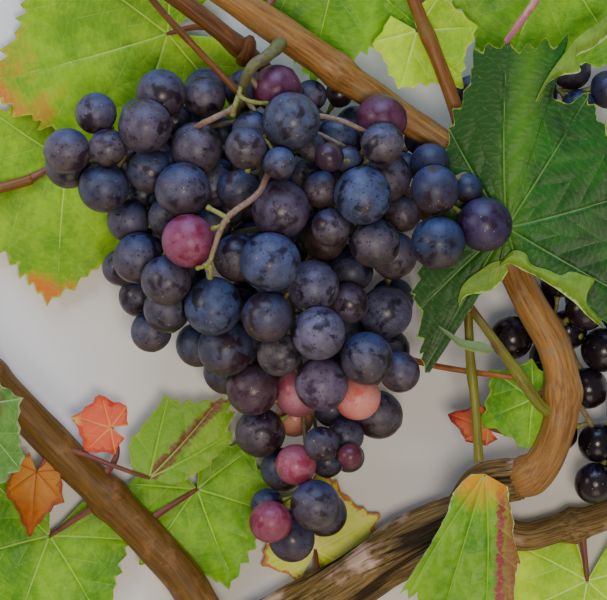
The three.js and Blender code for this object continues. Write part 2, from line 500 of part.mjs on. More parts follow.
// A blade: rays from the foot, three vertices along each, top and bottom faces and the rim between
function blade(leaf) {
  const { lobes, reach } = leaf;
  const rays = leaf.rays ?? 2 * Math.max(7, Math.round(reach / LEAF_RAY_STEP));
  const rings = [0.5, 1];
  const position = [];
  const surface = (side) => {
    position.push(0, 0, (side * LEAF_THICKNESS) / 2);
    for (let ray = 0; ray <= rays; ray += 1) {
      const angle = THREE.MathUtils.lerp(lobes[0][0], lobes[lobes.length - 1][0], ray / rays);
      const tooth = LEAF_TEETH[ray % 2];
      for (const ring of rings) {
        const out = ring * leafReach(lobes, angle) * (ring === 1 ? tooth : 1);
        const turn = THREE.MathUtils.degToRad(angle);
        const height = out * out * (leaf.wave * Math.sin(LEAF_WAVES * turn) - leaf.droop) * reach;
        position.push(out * reach * Math.cos(turn), out * reach * Math.sin(turn),
          height + (side * LEAF_THICKNESS) / 2);
      }
    }
  };
  surface(1);
  surface(-1);
  const count = 1 + 2 * (rays + 1);
  const at = (side, ray, ring) => side * count + 1 + 2 * ray + ring;
  const index = [];
  for (let ray = 0; ray < rays; ray += 1) {
    index.push(0, at(0, ray, 0), at(0, ray + 1, 0), count, at(1, ray + 1, 0), at(1, ray, 0));
    index.push(at(0, ray, 0), at(0, ray, 1), at(0, ray + 1, 1));
    index.push(at(0, ray, 0), at(0, ray + 1, 1), at(0, ray + 1, 0));
    index.push(at(1, ray, 0), at(1, ray + 1, 1), at(1, ray, 1));
    index.push(at(1, ray, 0), at(1, ray + 1, 0), at(1, ray + 1, 1));
    index.push(at(0, ray, 1), at(1, ray, 1), at(1, ray + 1, 1));
    index.push(at(0, ray, 1), at(1, ray + 1, 1), at(0, ray + 1, 1));
  }
  const rim = (a, b, c, d) => index.push(a, b, c, a, c, d);
  rim(0, count, at(1, 0, 0), at(0, 0, 0));
  rim(at(0, 0, 0), at(1, 0, 0), at(1, 0, 1), at(0, 0, 1));
  rim(0, at(0, rays, 0), at(1, rays, 0), count);
  rim(at(0, rays, 0), at(0, rays, 1), at(1, rays, 1), at(1, rays, 0));
  const geometry = new THREE.BufferGeometry();
  geometry.setAttribute('position', new THREE.Float32BufferAttribute(position, 3));
  geometry.setIndex(index);
  geometry.rotateX(THREE.MathUtils.degToRad(leaf.roll));
  geometry.rotateY(THREE.MathUtils.degToRad(leaf.pitch));
  geometry.rotateZ(THREE.MathUtils.degToRad(leaf.midrib));
  return geometry.translate(...leaf.at);
}

for (const leaf of LEAVES) {
  const stalk = tube([...leaf.petiole, leaf.at], PETIOLE_RADII, 3);
  const whole = wasm.Manifold.union([closedSolid(blade(leaf)), closedSolid(stalk)]);
  addSolid(leaf.name, mainPiece(cutClear(leaf.name, whole)), leaf.finish);
  take(leaf.name, closedSolid(stalk));
}

export default vine;
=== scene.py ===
import bpy
import math
import numpy as np
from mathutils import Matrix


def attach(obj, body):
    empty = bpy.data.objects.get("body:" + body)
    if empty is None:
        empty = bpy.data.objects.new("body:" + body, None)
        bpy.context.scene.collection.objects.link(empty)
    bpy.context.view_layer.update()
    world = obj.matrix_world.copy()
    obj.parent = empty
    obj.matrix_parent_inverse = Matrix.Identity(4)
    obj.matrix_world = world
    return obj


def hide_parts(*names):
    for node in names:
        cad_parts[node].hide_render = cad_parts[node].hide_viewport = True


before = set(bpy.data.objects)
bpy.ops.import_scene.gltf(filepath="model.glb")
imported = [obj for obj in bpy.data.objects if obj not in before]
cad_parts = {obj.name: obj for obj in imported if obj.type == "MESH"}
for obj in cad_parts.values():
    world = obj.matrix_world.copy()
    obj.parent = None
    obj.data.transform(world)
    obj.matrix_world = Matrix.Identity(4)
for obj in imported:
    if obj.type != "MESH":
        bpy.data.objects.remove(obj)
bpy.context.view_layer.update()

# The camera hangs straight over the cut cane, which lies on its back, so that it sees the bunch as the
# photograph does. It is far off with a long lens, and one pixel is SCALE millimetres at the bunch's front.
PHOTO_WIDTH = 607
SCALE = 0.33
FRONT_HEIGHT = 60
CAMERA_DISTANCE = 2000
SHEET_ORIGIN = np.array([3.1, 0.7, 0.0])
MM = 0.001
SENSOR = 36
CLIP_NEAR, CLIP_FAR = 0.05, 20


def place(points):
    """Frame coordinates in metres of design places in millimetres: shifted to the sheet's origin, scaled."""
    return (np.asarray(points, float) + SHEET_ORIGIN) * MM


camera_data = bpy.data.cameras.new("camera")
camera_data.sensor_width = SENSOR
camera_data.lens = SENSOR * CAMERA_DISTANCE / (PHOTO_WIDTH * SCALE)
camera_data.clip_start, camera_data.clip_end = CLIP_NEAR, CLIP_FAR
camera = bpy.data.objects.new("camera", camera_data)
camera.location = place([0, 0, FRONT_HEIGHT + CAMERA_DISTANCE])
bpy.context.scene.collection.objects.link(camera)
bpy.context.scene.camera = camera


# The old arm and the spur on it are the vine's permanent wood, under shaggy bark that splits into long
# strips. Each is a tube carried along its line, with the strips and cracks raised in the mesh. Lines and
# radii are the part's; a limb that the part gives another radius for its clearance has it in "stretches".
BARK_LIMBS = [
    {"name": "arm_left", "radius": [10.5, 10.2, 10, 9.8, 9.5], "fibre": 1.0,
     "line": [[-48, -133, 10.5], [-18, -116, 11], [12, -98, 12], [36, -83, 12.5], [56, -74, 13]]},
    {"name": "spur", "radius": [8, 7.7, 7.3, 6.8], "fibre": 1.0,
     "line": [[56, -71, 15], [61, -63, 20], [66, -61, 23], [73, -60, 26.5]]},
    {"name": "arm_right", "radius": [5.6, 5.0, 4.6, 6.2, 4.9, 4.4], "fibre": 0.3,
     "line": [[57, -74, 13], [74, -80, 11], [86, -77.3, 10.2], [91, -76.3, 10], [96, -75, 10],
              [119, -67, 9.5]],
     "stretches": [(0, 6, 5.6)]},
]
BARK_AROUND = 144
BARK_RING = 0.7
BARK_FIBRE = 0.8
BARK_LUMP = 0.06
BARK_WAVES = [(8, 4, 40), (14, 15, 140), (18, 52, 90)]
BARK_SEED, BARK_SEED_STEP = 10, 7
STRIP_BEND, THREAD_BEND = 0.12, 0.1
CRACK_SLOPE, CRACK_LEVEL = 2.6, 0.85
THREAD_HEIGHT = 0.3
CREST_SHARE = 0.3
FLOOR_GAP = 0.05
CURVE_STEPS = 40


def smooth_line(points, count):
    """Centripetal Catmull-Rom curve through the points: count places equally far apart along it, how far
    along each is, and how far along the given points are."""
    p = np.asarray(points, float)
    p = np.vstack([2 * p[0] - p[1], p, 2 * p[-1] - p[-2]])
    step = np.maximum(np.sqrt(np.linalg.norm(np.diff(p, axis=0), axis=1)), 1e-6)[:, None]
    a, b, c, d = p[:-3], p[1:-2], p[2:-1], p[3:]
    before, here, after = step[:-2], step[1:-1], step[2:]
    start = here * ((b - a) / before - (c - a) / (before + here) + (c - b) / here)
    end = here * ((c - b) / here - (d - b) / (here + after) + (d - c) / after)
    t = np.linspace(0, 1, CURVE_STEPS, endpoint=False)[None, :, None]
    b, c, start, end = b[:, None], c[:, None], start[:, None], end[:, None]
    fine = b + start * t + (3 * (c - b) - 2 * start - end) * t ** 2 + (2 * (b - c) + start + end) * t ** 3
    fine = np.vstack([fine.reshape(-1, 3), p[-2]])
    along = np.concatenate([[0], np.cumsum(np.linalg.norm(np.diff(fine, axis=0), axis=1))])
    wanted = np.linspace(0, along[-1], count)
    curve = np.stack([np.interp(wanted, along, fine[:, i]) for i in range(3)], axis=1)
    return curve, wanted, along[::CURVE_STEPS]


def spokes(centres):
    """Two unit vectors across a line at each of its points, carried along without twist: each is the one
    before it, less what points along the line there."""
    forward = np.gradient(centres, axis=0)
    forward /= np.linalg.norm(forward, axis=1)[:, None]
    side = np.zeros_like(forward)
    carried = np.eye(3)[np.argmin(np.abs(forward[0]))]
    for i, ahead in enumerate(forward):
        carried = carried - ahead * (carried @ ahead)
        carried = carried / np.linalg.norm(carried)
        side[i] = carried
    return side, np.cross(forward, side)


def grid_triangles(rows, columns, first=0, wrap=True):
    """Two triangles for each cell of a grid of vertices, rows by columns; wrapped, the last column meets
    the first."""
    row, column = np.meshgrid(np.arange(rows - 1), np.arange(columns if wrap else columns - 1), indexing="ij")
    a = first + row * columns + column
    b = first + row * columns + (column + 1) % columns
    c, d = a + columns, b + columns
    return np.concatenate([np.stack([a, b, d], -1).reshape(-1, 3), np.stack([a, d, c], -1).reshape(-1, 3)])


def closed_rings(rings, around, first, foot, tip):
    """Triangles of a stack of rings of vertices, numbered from first on, closed by a fan from the vertex
    foot to the first ring and one from the vertex tip to the last."""
    here = np.arange(around)
    ahead = (here + 1) % around
    last = first + (rings - 1) * around
    return np.vstack([grid_triangles(rings, around, first),
                      np.stack([np.full(around, foot), first + ahead, first + here], -1),
                      np.stack([np.full(around, tip), last + here, last + ahead], -1)])


def carried_tube(line, radius, around, ring_step, relief):
    """A closed round tube. Its middle is the smooth line, its radius is given at the line's points or at
    foot and tip, and relief, a function of the distance along, the whole length and the angle, is added to
    the radius. Returns vertices, triangles and, for the grain, the place on a straight stick of that size."""
    length = smooth_line(line, 2)[1][-1]
    rings = max(3, int(round(length / ring_step)) + 1)
    centres, along, knots = smooth_line(line, rings)
    side, up = spokes(centres)
    angle = np.linspace(0, 2 * np.pi, around, endpoint=False)
    places = knots if len(radius) == len(line) else [0, length]
    r = np.interp(along, places, radius)[:, None] * np.ones(around)
    r = r + relief(along[:, None], length, angle[None, :], r)
    direction = side[:, None] * np.cos(angle)[:, None] + up[:, None] * np.sin(angle)[:, None]
    surface = centres[:, None] + direction * r[..., None]
    stick = np.stack([np.cos(angle) * r, np.sin(angle) * r, along[:, None] * np.ones(around)], -1)
    verts = np.vstack([surface.reshape(-1, 3), centres[0], centres[-1]])
    verts[:, 2] = np.maximum(verts[:, 2], FLOOR_GAP)
    grain = np.vstack([stick.reshape(-1, 3), [0, 0, 0], [0, 0, length]])
    return verts, closed_rings(rings, around, 0, rings * around, rings * around + 1), grain


def joined(parts):
    """Several meshes as one: vertices stacked, triangles renumbered, each value stacked in the same order."""
    counts = np.cumsum([0] + [len(part[0]) for part in parts])
    verts = np.vstack([part[0] for part in parts])
    faces = np.vstack([part[1] + shift for part, shift in zip(parts, counts)])
    values = {key: np.concatenate([part[2][key] for part in parts]) for key in parts[0][2]}
    return verts, faces, values


def put_piece(name, verts, faces, values, materials, slot, nodes, face_material=None):
    """Puts design millimetres into a smooth mesh object that rides on the root, replaces CAD nodes and
    keeps each named value as an attribute of its vertices."""
    mesh = bpy.data.meshes.new(name)
    mesh.vertices.add(len(verts))
    mesh.vertices.foreach_set("co", place(verts).ravel())
    mesh.loops.add(3 * len(faces))
    mesh.loops.foreach_set("vertex_index", faces.ravel().astype(np.int32))
    mesh.polygons.add(len(faces))
    mesh.polygons.foreach_set("loop_start", np.arange(0, 3 * len(faces), 3, dtype=np.int32))
    mesh.update(calc_edges=True)
    mesh.shade_smooth()
    for material in materials:
        mesh.materials.append(material)
    if face_material is not None:
        mesh.polygons.foreach_set("material_index", np.asarray(face_material, np.int32))
    for key, value in values.items():
        kind, channel = {1: ("FLOAT", "value"), 3: ("FLOAT_VECTOR", "vector"),
                         4: ("FLOAT_COLOR", "color")}[1 if value.ndim == 1 else value.shape[1]]
        mesh.attributes.new(key, kind, "POINT").data.foreach_set(channel, value.ravel())
    piece = bpy.data.objects.new(name, mesh)
    bpy.context.scene.collection.objects.link(piece)
    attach(piece, "root")
    if nodes:
        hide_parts(*nodes)


def linear(hex_colour):
    """sRGB hex to linear red, green, blue and alpha: the sRGB curve undone on each channel."""
    c = np.array([int(hex_colour[i:i + 2], 16) for i in (1, 3, 5)]) / 255
    c = np.where(c <= 0.04045, c / 12.92, ((c + 0.055) / 1.055) ** 2.4)
    return (*c.tolist(), 1.0)


def add(tree, kind, inputs=None, **settings):
    """Adds a shader node to a tree with its settings. An input is a value, an output that is linked to it,
    or a node, whose first output in use is linked. Inputs 2, 3, 4 and 8 of a noise are its scale, detail,
    roughness and distortion; 3 of a mapping its scale; 1 to 4 of a map its limits before and after; 6 and
    7 of a mix its colours."""
    node = tree.nodes.new("ShaderNode" + kind)
    for key, value in settings.items():
        setattr(node, key, value)
    for key, value in (inputs or {}).items():
        if isinstance(value, bpy.types.Node):
            value = next(output for output in value.outputs if output.enabled)
        if isinstance(value, bpy.types.NodeSocket):
            tree.links.new(value, node.inputs[key])
        else:
            node.inputs[key].default_value = value
    return node


def new_material(name):
    """An empty node material and its tree."""
    material = bpy.data.materials.new(name)
    material.use_nodes = True
    material.node_tree.nodes.clear()
    return material, material.node_tree


def finish_skin(tree, colour, roughness, height, strength, distance, specular=0.5):
    """The end that all skins of the plant share: a bump of a height field, its distance in millimetres,
    under a shader of that colour, roughness and specular level."""
    bump = add(tree, "Bump", {"Strength": strength, "Distance": distance * MM, "Height": height})
    shader = add(tree, "BsdfPrincipled", {"Base Color": colour, "Roughness": roughness, "Normal": bump,
                                          "Specular IOR Level": specular})
    add(tree, "OutputMaterial", {0: shader})


def waves(seed, count, around_most, along_longest):
    """Numbers for a field of count sine waves on a stick: turns around, waves a millimetre along, phases
    and heights, the same each time for one seed."""
    draw = np.random.default_rng(seed)
    turns = draw.integers(2, around_most, count)
    rate = draw.uniform(-1, 1, count) * 2 * np.pi / along_longest
    return turns, rate, draw.uniform(0, 2 * np.pi, count), draw.uniform(0.4, 1, count)


def field(numbers, along, angle):
    """Sum of the sine waves of the angle and the distance along, about -1 to 1."""
    turns, rate, phase, height = numbers
    total = sum(h * np.sin(t * angle + f * along + p) for t, f, p, h in zip(turns, rate, phase, height))
    return total / np.sqrt((height ** 2).sum())


def bark_relief(seed, fibre):
    """Relief of shaggy bark: lumps that bend the strips, long strips with sharp cracks between, which are
    the absolute value of a field that is long along the wood and narrow round it, and fine threads."""
    lumps, strips, threads = (waves(seed + i, *numbers) for i, numbers in enumerate(BARK_WAVES))

    def relief(along, length, angle, r):
        """Height over a radius r: the lumps' share of r, and the strips less their cracks and threads."""
        lump = field(lumps, along, angle)
        strip = field(strips, along, angle + STRIP_BEND * lump)
        thread = field(threads, along, angle + THREAD_BEND * lump)
        cracks = np.minimum(1, np.abs(strip) * CRACK_SLOPE)
        shag = BARK_FIBRE * (cracks - CRACK_LEVEL) + THREAD_HEIGHT * np.abs(thread) - THREAD_HEIGHT / 2
        return BARK_LUMP * r * lump + fibre * shag

    return relief


# Old vine bark: dull olive-brown strips, bleached pale pink along their crests and nearly black in the
# cracks. The grain runs along the wood, so its noise is drawn out twenty times that way.
def bark_material(name, dark, middle, pale, crack_colour):
    """Streaks of two browns, pale crests in bleached patches and dark cracks, laid over one another."""
    material, tree = new_material(name)
    grain = add(tree, "Attribute", attribute_name="grain").outputs["Vector"]
    crack = add(tree, "Attribute", attribute_name="crest").outputs["Fac"]
    drawn_out = add(tree, "Mapping", {0: grain, 3: (1, 1, 0.05)})
    fibre = add(tree, "TexNoise", {0: drawn_out, 2: 1.7, 3: 6, 4: 0.62})
    patch = add(tree, "TexNoise", {0: grain, 2: 0.07, 3: 4})
    streak = add(tree, "MapRange", {0: fibre, 1: 0.38, 2: 0.6})
    bleached = add(tree, "MapRange", {0: patch, 1: 0.5, 2: 0.6})
    ridge = add(tree, "MapRange", {0: crack, 1: -0.05, 2: 0.35})
    worn = add(tree, "Math", {0: bleached, 1: ridge}, operation="MULTIPLY")
    depth = add(tree, "MapRange", {0: crack, 1: -0.8, 2: -0.25, 3: 0.85, 4: 0})
    colour = linear(dark)
    for mask, over in ((streak, middle), (worn, pale), (depth, crack_colour)):
        colour = add(tree, "Mix", {0: mask, 6: colour, 7: linear(over)}, data_type="RGBA")
    finish_skin(tree, colour, 0.85, fibre, 0.7, 0.4, specular=0.2)
    return material


old_bark = bark_material("shaggy_vine_bark", "#5a4a28", "#9a7c4c", "#dcb89c", "#1a120c")
for number, limb in enumerate(BARK_LIMBS):
    relief = bark_relief(BARK_SEED + BARK_SEED_STEP * number, limb["fibre"])
    verts, faces, grain = carried_tube(limb["line"], limb["radius"], BARK_AROUND, BARK_RING, relief)
    angle = np.arctan2(grain[:, 1], grain[:, 0])
    mean = np.full(len(verts), limb["radius"][0])
    crest = relief(grain[:, 2], 0, angle, mean) - BARK_LUMP * mean * CREST_SHARE
    put_piece(limb["name"] + "_bark", verts, faces, {"grain": grain, "crest": crest}, [old_bark], "old_bark",
              [limb["name"]])


# The year-old canes are smooth and finely ribbed, orange-brown to dark brown, swollen at each node where a
# leaf stood. The younger shoots are green, and their leaf scars and buds are on the swellings.
CANES = [
    {"name": "bearing_cane", "finish": "cane", "swellings": [0.04, 0.165, 0.365, 0.695],
     "radius": [4.0, 6.3, 6.2, 6.0, 6.0, 5.8, 5.5, 5.3, 5.1, 5.0, 4.9, 5.0, 5.2, 5.5, 5.2, 4.9, 4.6],
     "line": [[66.5, -61.5, 23.5], [73, -60, 26.5], [79.5, -55.5, 29.5], [85.5, -42, 34], [86.5, -28, 36],
              [83.5, -15, 36], [77, -3.4, 36], [69.5, 12, 35], [62, 31, 34], [57, 43, 34], [49, 50, 34.5],
              [32, 62, 35.5], [14, 74.5, 39], [-5.5, 88, 44], [-21, 98.5, 46], [-38, 110, 47],
              [-53, 120, 47]],
     "nodes": ["cane_bend_low", "cane_bend_high", "bearing_cane", "bearing_cane_tip"],
     "stretches": [(1, 5, 6.2), (4, 10, 5.8), (9, 14, 5.4), (13, 17, 5.2)]},
    {"name": "top_shoot", "finish": "shoot", "radius": [2.6, 2.2], "swellings": [0.05, 0.6],
     "line": [[55, 45, 34.2], [52, 60, 36.5], [43.5, 83, 40], [37, 99, 41], [31, 116, 42]]},
    {"name": "low_cane", "finish": "dark_cane", "radius": [3, 3.4], "swellings": [0.3, 0.715],
     "line": [[73, 5, 35.5], [58, 17, 14], [34, 36, 4.5], [13, 55, 4], [-5, 69, 8], [-18, 82, 17],
              [-30, 92, 21], [-43, 102, 22], [-66, 118, 20]]},
    {"name": "left_cane", "finish": "smooth_cane", "radius": [7, 6], "swellings": [0.1, 0.45, 0.83],
     "line": [[-28, -122, 12], [-38, -98, 13], [-53, -80, 12], [-79, -54, 12], [-105, -27, 12],
              [-124, -8, 12]]},
    {"name": "left_shoot", "finish": "shoot", "radius": [2.6, 1.8], "swellings": [0.5],
     "line": [[-121, -11, 12], [-124, 14, 13], [-113, 33, 12], [-92, 41, 9]]},
    {"name": "green_shoot", "finish": "green", "radius": [2.4, 1.9, 2.0, 1.5, 1.4], "swellings": [0.04, 0.42],
     "line": [[86, -38, 34.5], [80, -36, 39], [73, -27, 43.5], [64, -14, 43], [54.5, -1, 39]]},
    {"name": "hanging_stem", "finish": "green", "radius": [1.5, 1.6], "swellings": [0.45],
     "line": [[54.8, -1.5, 39], [55.5, -18, 40], [57.5, -38, 39.5], [58.5, -54, 38]]},
    {"name": "red_stem", "finish": "stalk", "radius": [0.9, 1.1], "swellings": [0.02],
     "line": [[72, -26, 43.5], [56, -24, 36.5], [44, -22, 33], [36, -20, 30]]},
]
NODE_SWELLING = 0.18
NODE_LENGTH = 4
RIB_HEIGHT = 0.018
UNEVENNESS = 0.03
CANE_INSET = 0.02
CANE_WAVES = [(10, 26, 200), (6, 4, 18)]
CANE_SEED, CANE_SEED_STEP = 100, 3
GRAIN_STEP = 37.0
THICK = 4
CANE_MESH, SHOOT_MESH = (72, 0.8), (36, 1.0)


def cane_relief(seed, swellings):
    """Relief of a cane: a bell curve round each node, fine ribs along it and a slow unevenness."""
    ribs, lumps = (waves(seed + i, *numbers) for i, numbers in enumerate(CANE_WAVES))

    def relief(along, length, angle, r):
        """Height over a radius r, as shares of it."""
        swelling = sum(np.exp(-(((along - n * length) / NODE_LENGTH) ** 2)) for n in swellings)
        rib = np.abs(field(ribs, along, angle)) - 0.5
        slow = UNEVENNESS * field(lumps, along, angle)
        return r * (NODE_SWELLING * swelling + RIB_HEIGHT * rib + slow - CANE_INSET)

    return relief


# Cane bark: satin, drawn-out streaks of two browns with pinhead pores, and clouds of a third colour where
# the bark has weathered grey-green or flaked to pink.
def cane_material(name, dark, middle, cloud, pore, roughness):
    """Streaks of two browns, then clouds of a third colour, then dots for the pores."""
    material, tree = new_material(name)
    grain = add(tree, "Attribute", attribute_name="grain").outputs["Vector"]
    drawn_out = add(tree, "Mapping", {0: grain, 3: (1, 1, 0.07)})
    rib = add(tree, "TexNoise", {0: drawn_out, 2: 1.1, 3: 6, 4: 0.62})
    patch = add(tree, "TexNoise", {0: grain, 2: 0.1, 3: 6, 4: 0.68})
    pores = add(tree, "TexVoronoi", {0: grain, 2: 1.15})
    streak = add(tree, "MapRange", {0: rib, 1: 0.3, 2: 0.66})
    zone = add(tree, "MapRange", {0: patch, 1: 0.54, 2: 0.66, 3: 0, 4: 0.75})
    dots = add(tree, "MapRange", {0: pores, 1: 0.12, 2: 0.2, 3: 0.6, 4: 0})
    colour = linear(dark)
    for mask, over in ((streak, middle), (zone, cloud), (dots, pore)):
        colour = add(tree, "Mix", {0: mask, 6: colour, 7: linear(over)}, data_type="RGBA")
    finish_skin(tree, colour, roughness, rib, 0.3, 0.3, specular=0.35)
    return material


CANE_FINISHES = {
    "cane": cane_material("ripened_cane_bark", "#704820", "#b4823e", "#8c7852", "#422610", 0.45),
    "dark_cane": cane_material("dark_cane_bark", "#4a2a10", "#8a5520", "#a85a20", "#2a180c", 0.5),
    "smooth_cane": cane_material("smooth_cane_bark", "#55380f", "#825a1c", "#9a6c3c", "#4a2f14", 0.5),
    "shoot": cane_material("half_ripe_shoot", "#6a4018", "#96602a", "#7d6a30", "#43290f", 0.45),
    "green": cane_material("green_shoot_skin", "#5f5c18", "#8c8a2c", "#7a4a3a", "#55481e", 0.4),
    "stalk": cane_material("red_stalk_skin", "#7a3a1c", "#a5622c", "#b07a3a", "#5a3018", 0.45),
    "pink": cane_material("pink_leaf_stalk", "#8a5070", "#d87c6c", "#e8b49c", "#7a3848", 0.4),
}
STALK_SLOTS = {"green": "green_stem", "stalk": "stalk", "pink": "stalk"}
for number, cane in enumerate(CANES):
    around, ring = CANE_MESH if max(cane["radius"]) > THICK else SHOOT_MESH
    verts, faces, grain = carried_tube(cane["line"], cane["radius"], around, ring,
                                       cane_relief(CANE_SEED + CANE_SEED_STEP * number, cane["swellings"]))
    put_piece(cane["name"] + "_skin", verts, faces, {"grain": grain + GRAIN_STEP * number},
              [CANE_FINISHES[cane["finish"]]], STALK_SLOTS.get(cane["finish"], "cane"),
              cane.get("nodes", [cane["name"]]))


# The main bunch hangs from a stalk that leaves the cane's node over a knee. Its berries are placed by the
# part's own rule: those seen from the front by place and diameter, the rest on seeded rays. Smaller ones,
# placed last by the same rule on rays that point backwards, close the gaps inside.
SLICE_KEYS = ("y", "x", "half_width", "z", "half_depth")
BUNCH_SLICES = [dict(zip(SLICE_KEYS, row)) for row in (
    (78, -10, 22, 40, 21), (52, -12, 50, 39, 35), (25, -10, 52, 38, 36), (0, -8, 46, 36, 34),
    (-25, 3, 35, 31, 28), (-50, 3, 21, 27, 19), (-84, -3, 15, 24, 13))]
PART_BUNCHES = [
    {"name": "bunch_heart",
     "front": [[-11, 12.5, 20], [5, -11, 18], [3, 4.5, 18], [-7.5, 30, 19.5], [-12, -5.5, 17], [15, -1, 14]],
     "behind": [[-22, 14, 16], [16, 9.5, 14.5]]},
    {"name": "bunch_right_top",
     "front": [[19.5, 34.5, 19.5], [9, 24, 13], [6, 36.5, 12.5], [23.5, 19, 17], [26, 51.5, 14.5]],
     "behind": [[27, 41, 17.5], [26, 60, 17], [2, 41, 12.5], [30, 15, 16], [7, 20.5, 15],
                [14.5, 46.5, 9.5], [8.5, 47, 10], [3, 50.5, 9.5]]},
    {"name": "bunch_left_middle",
     "front": [[-38, 19.5, 18], [-45.5, 6.5, 17], [-55, 14, 17.5]],
     "behind": [[-44.5, 27.5, 14.5], [-58.5, 26.5, 14.5], [-61, 11, 13], [-45.5, -3, 16], [-55.5, 1, 13.5],
                [-51, -10.5, 14]]},
    {"name": "bunch_left_low",
     "front": [[-30, -2, 20], [-26, -16, 19]],
     "behind": [[-35.5, -15, 15], [-26, -24, 15.5]]},
    {"name": "bunch_top",
     "front": [[-4, 59, 19.5], [-8, 45, 11], [-19, 50, 14]],
     "behind": [[-17, 56, 13.5], [-9, 70, 16.5], [-21.5, 36.5, 14.5]]},
    {"name": "bunch_right_low",
     "front": [[21, -19.5, 18], [27.5, -4, 18]],
     "behind": [[30, 0.5, 14.5], [29, -16.5, 14], [32, -24, 14]]},
    {"name": "bunch_low",
     "front": [[6, -28, 18.5], [-8, -18, 15], [-17, -30, 17.5], [18, -32.5, 15.5], [-14.5, -44.5, 17]],
     "behind": [[-1.5, -31, 17], [9.5, -36.5, 13], [25, -38.5, 17], [-3, -39.5, 13.5]]},
    {"name": "bunch_left_top",
     "front": [[-40, 36.5, 18.5], [-35.5, 50.5, 17.5]],
     "behind": [[-30, 38, 14], [-51, 43, 15]]},
    {"name": "bunch_left_wing", "top": 62,
     "front": [[-52.5, 57.5, 18], [-47.5, 68.5, 17], [-33, 67.5, 14.5], [-65, 50.5, 13],
               [-78.5, 49.5, 15.5], [-69, 62, 14], [-66.5, 37.5, 17]],
     "behind": [[-78.5, 45, 16], [-55, 61, 13], [-33, 70.5, 15]]},
    {"name": "bunch_right_wing", "top": 67,
     "front": [[43.5, 36.5, 16.5], [44.5, 19, 18], [60, 25, 18.5]],
     "behind": [[42, 45.5, 13.5], [54.5, 37, 10], [33, 29, 13]]},
    {"name": "bunch_tail", "top": 47,
     "front": [[6, -48, 12], [-2.5, -55, 14], [4, -68.5, 17.5], [-11, -74, 14.5]],
     "behind": [[14, -45.5, 12.5], [8, -54, 11.5], [-7, -57, 15], [15.5, -52, 8.5], [-4, -80, 16]]},
]
RACHIS_LINE = [[-6, 87.5, 44], [-11, 81.5, 54], [-17, 77, 57], [-19.8, 71, 53], [-20.5, 66, 44],
               [-21, 60, 31], [-17, 50, 27], [-10, 27, 28], [-5, 0, 25], [-2, -18, 17]]
RACHIS_RADII = [2, 1.4]
BACK_BERRY = {"least": 13.5, "most": 17.5, "lowest": -80, "highest": 72, "rays": 420, "seed": 21,
              "turns": (0, 1)}
INNER_BERRY = {"least": 9, "most": 13, "lowest": -76, "highest": 70, "rays": 500, "seed": 4,
               "turns": (0.5, 0.5)}
GAP_BERRIES = [[-59.5, 45.5, 12], [-54, 36, 13], [-45, 44, 12], [-43, 60, 12], [-56, 31, 12], [39.5, 54, 12],
               [52, 30, 12]]
GAP_TOP = 38
OPEN_PLACE = {"x": -24, "y": 30, "radius": 15, "above": 40}
FRONT_CURVE = {"spread": 1.35, "least": 0.1}
FILL_SEARCH = {"innermost": 0.5, "step": 0.1, "hiding": 0.6}
LIMB_MARGIN = 1
CLEARANCE = 0.35
PRESSED = 0.95


def drawing(seed):
    """Pseudo-random numbers from 0 to 1: the state times 16807, modulo 2147483647, over that."""
    state = seed
    while True:
        state = (state * 16807) % 2147483647
        yield state / 2147483647


def nearest_on(line, spot):
    """Distance from a spot to a line of points, and the nearest point on it."""
    line = np.asarray(line, float)
    foot, run = line[:-1], np.diff(line, axis=0)
    t = np.clip(((spot - foot) * run).sum(1) / (run ** 2).sum(1), 0, 1)
    points = foot + run * t[:, None]
    distance = np.linalg.norm(points - spot, axis=1)
    return distance.min(), points[distance.argmin()]


def slice_at(y):
    """Size of the egg's slice at a height, between the two slices next to it."""
    below = next((i for i, cut in enumerate(BUNCH_SLICES) if cut["y"] <= y), len(BUNCH_SLICES) - 1)
    upper, lower = BUNCH_SLICES[max(below, 1) - 1], BUNCH_SLICES[max(below, 1)]
    t = min(max((upper["y"] - y) / (upper["y"] - lower["y"]), 0), 1)
    return {key: upper[key] + (lower[key] - upper[key]) * t for key in SLICE_KEYS}


def front_at(x, y):
    """Height of the bunch's front at a place: the slice's middle and its depth on a widened circle."""
    cut = slice_at(y)
    across = (x - cut["x"]) / (FRONT_CURVE["spread"] * cut["half_width"])
    return cut["z"] + cut["half_depth"] * math.sqrt(max(FRONT_CURVE["least"], 1 - across * across))


def reach_of(one, other):
    """Distance at which two berries' middles stop: pressed a little, and apart if their owners differ."""
    return PRESSED * (one["r"] + other["r"]) + (0 if one["owner"] == other["owner"] else CLEARANCE)


def middle_of(berry):
    """The place of a berry's middle."""
    return berry["x"], berry["y"], berry["z"]


berries = []


def place_from_front(part, spot, layer):
    """Puts a berry under the bunch's front, lets it sink behind the ones in front of it and, one after the
    other from the highest, behind those of its own kind that it would run into, and down to the ground."""
    x, y, diameter = spot
    r = diameter / 2
    berry = {"owner": part["name"], "x": x, "y": y, "z": part.get("top", front_at(x, y)) - r, "r": r,
             "layer": layer}

    def step_behind(other):
        """How far behind another berry this one has to sit to touch it: a right triangle's third side."""
        apart = math.hypot(x - other["x"], y - other["y"])
        return math.sqrt(max(0, reach_of(berry, other) ** 2 - apart ** 2))

    for other in [b for b in berries if b["layer"] == 0]:
        if step_behind(other) > 0:
            berry["z"] = min(berry["z"], other["z"] - step_behind(other))
    for other in sorted((b for b in berries if b["layer"] == 1), key=lambda b: -b["z"]):
        if abs(berry["z"] - other["z"]) < step_behind(other):
            berry["z"] = other["z"] - step_behind(other)
    berry["z"] = max(berry["z"], r)
    berries.append(berry)


for layer, row in enumerate(("front", "behind")):
    for part in PART_BUNCHES:
        for spot in part[row]:
            place_from_front(part, spot, layer)


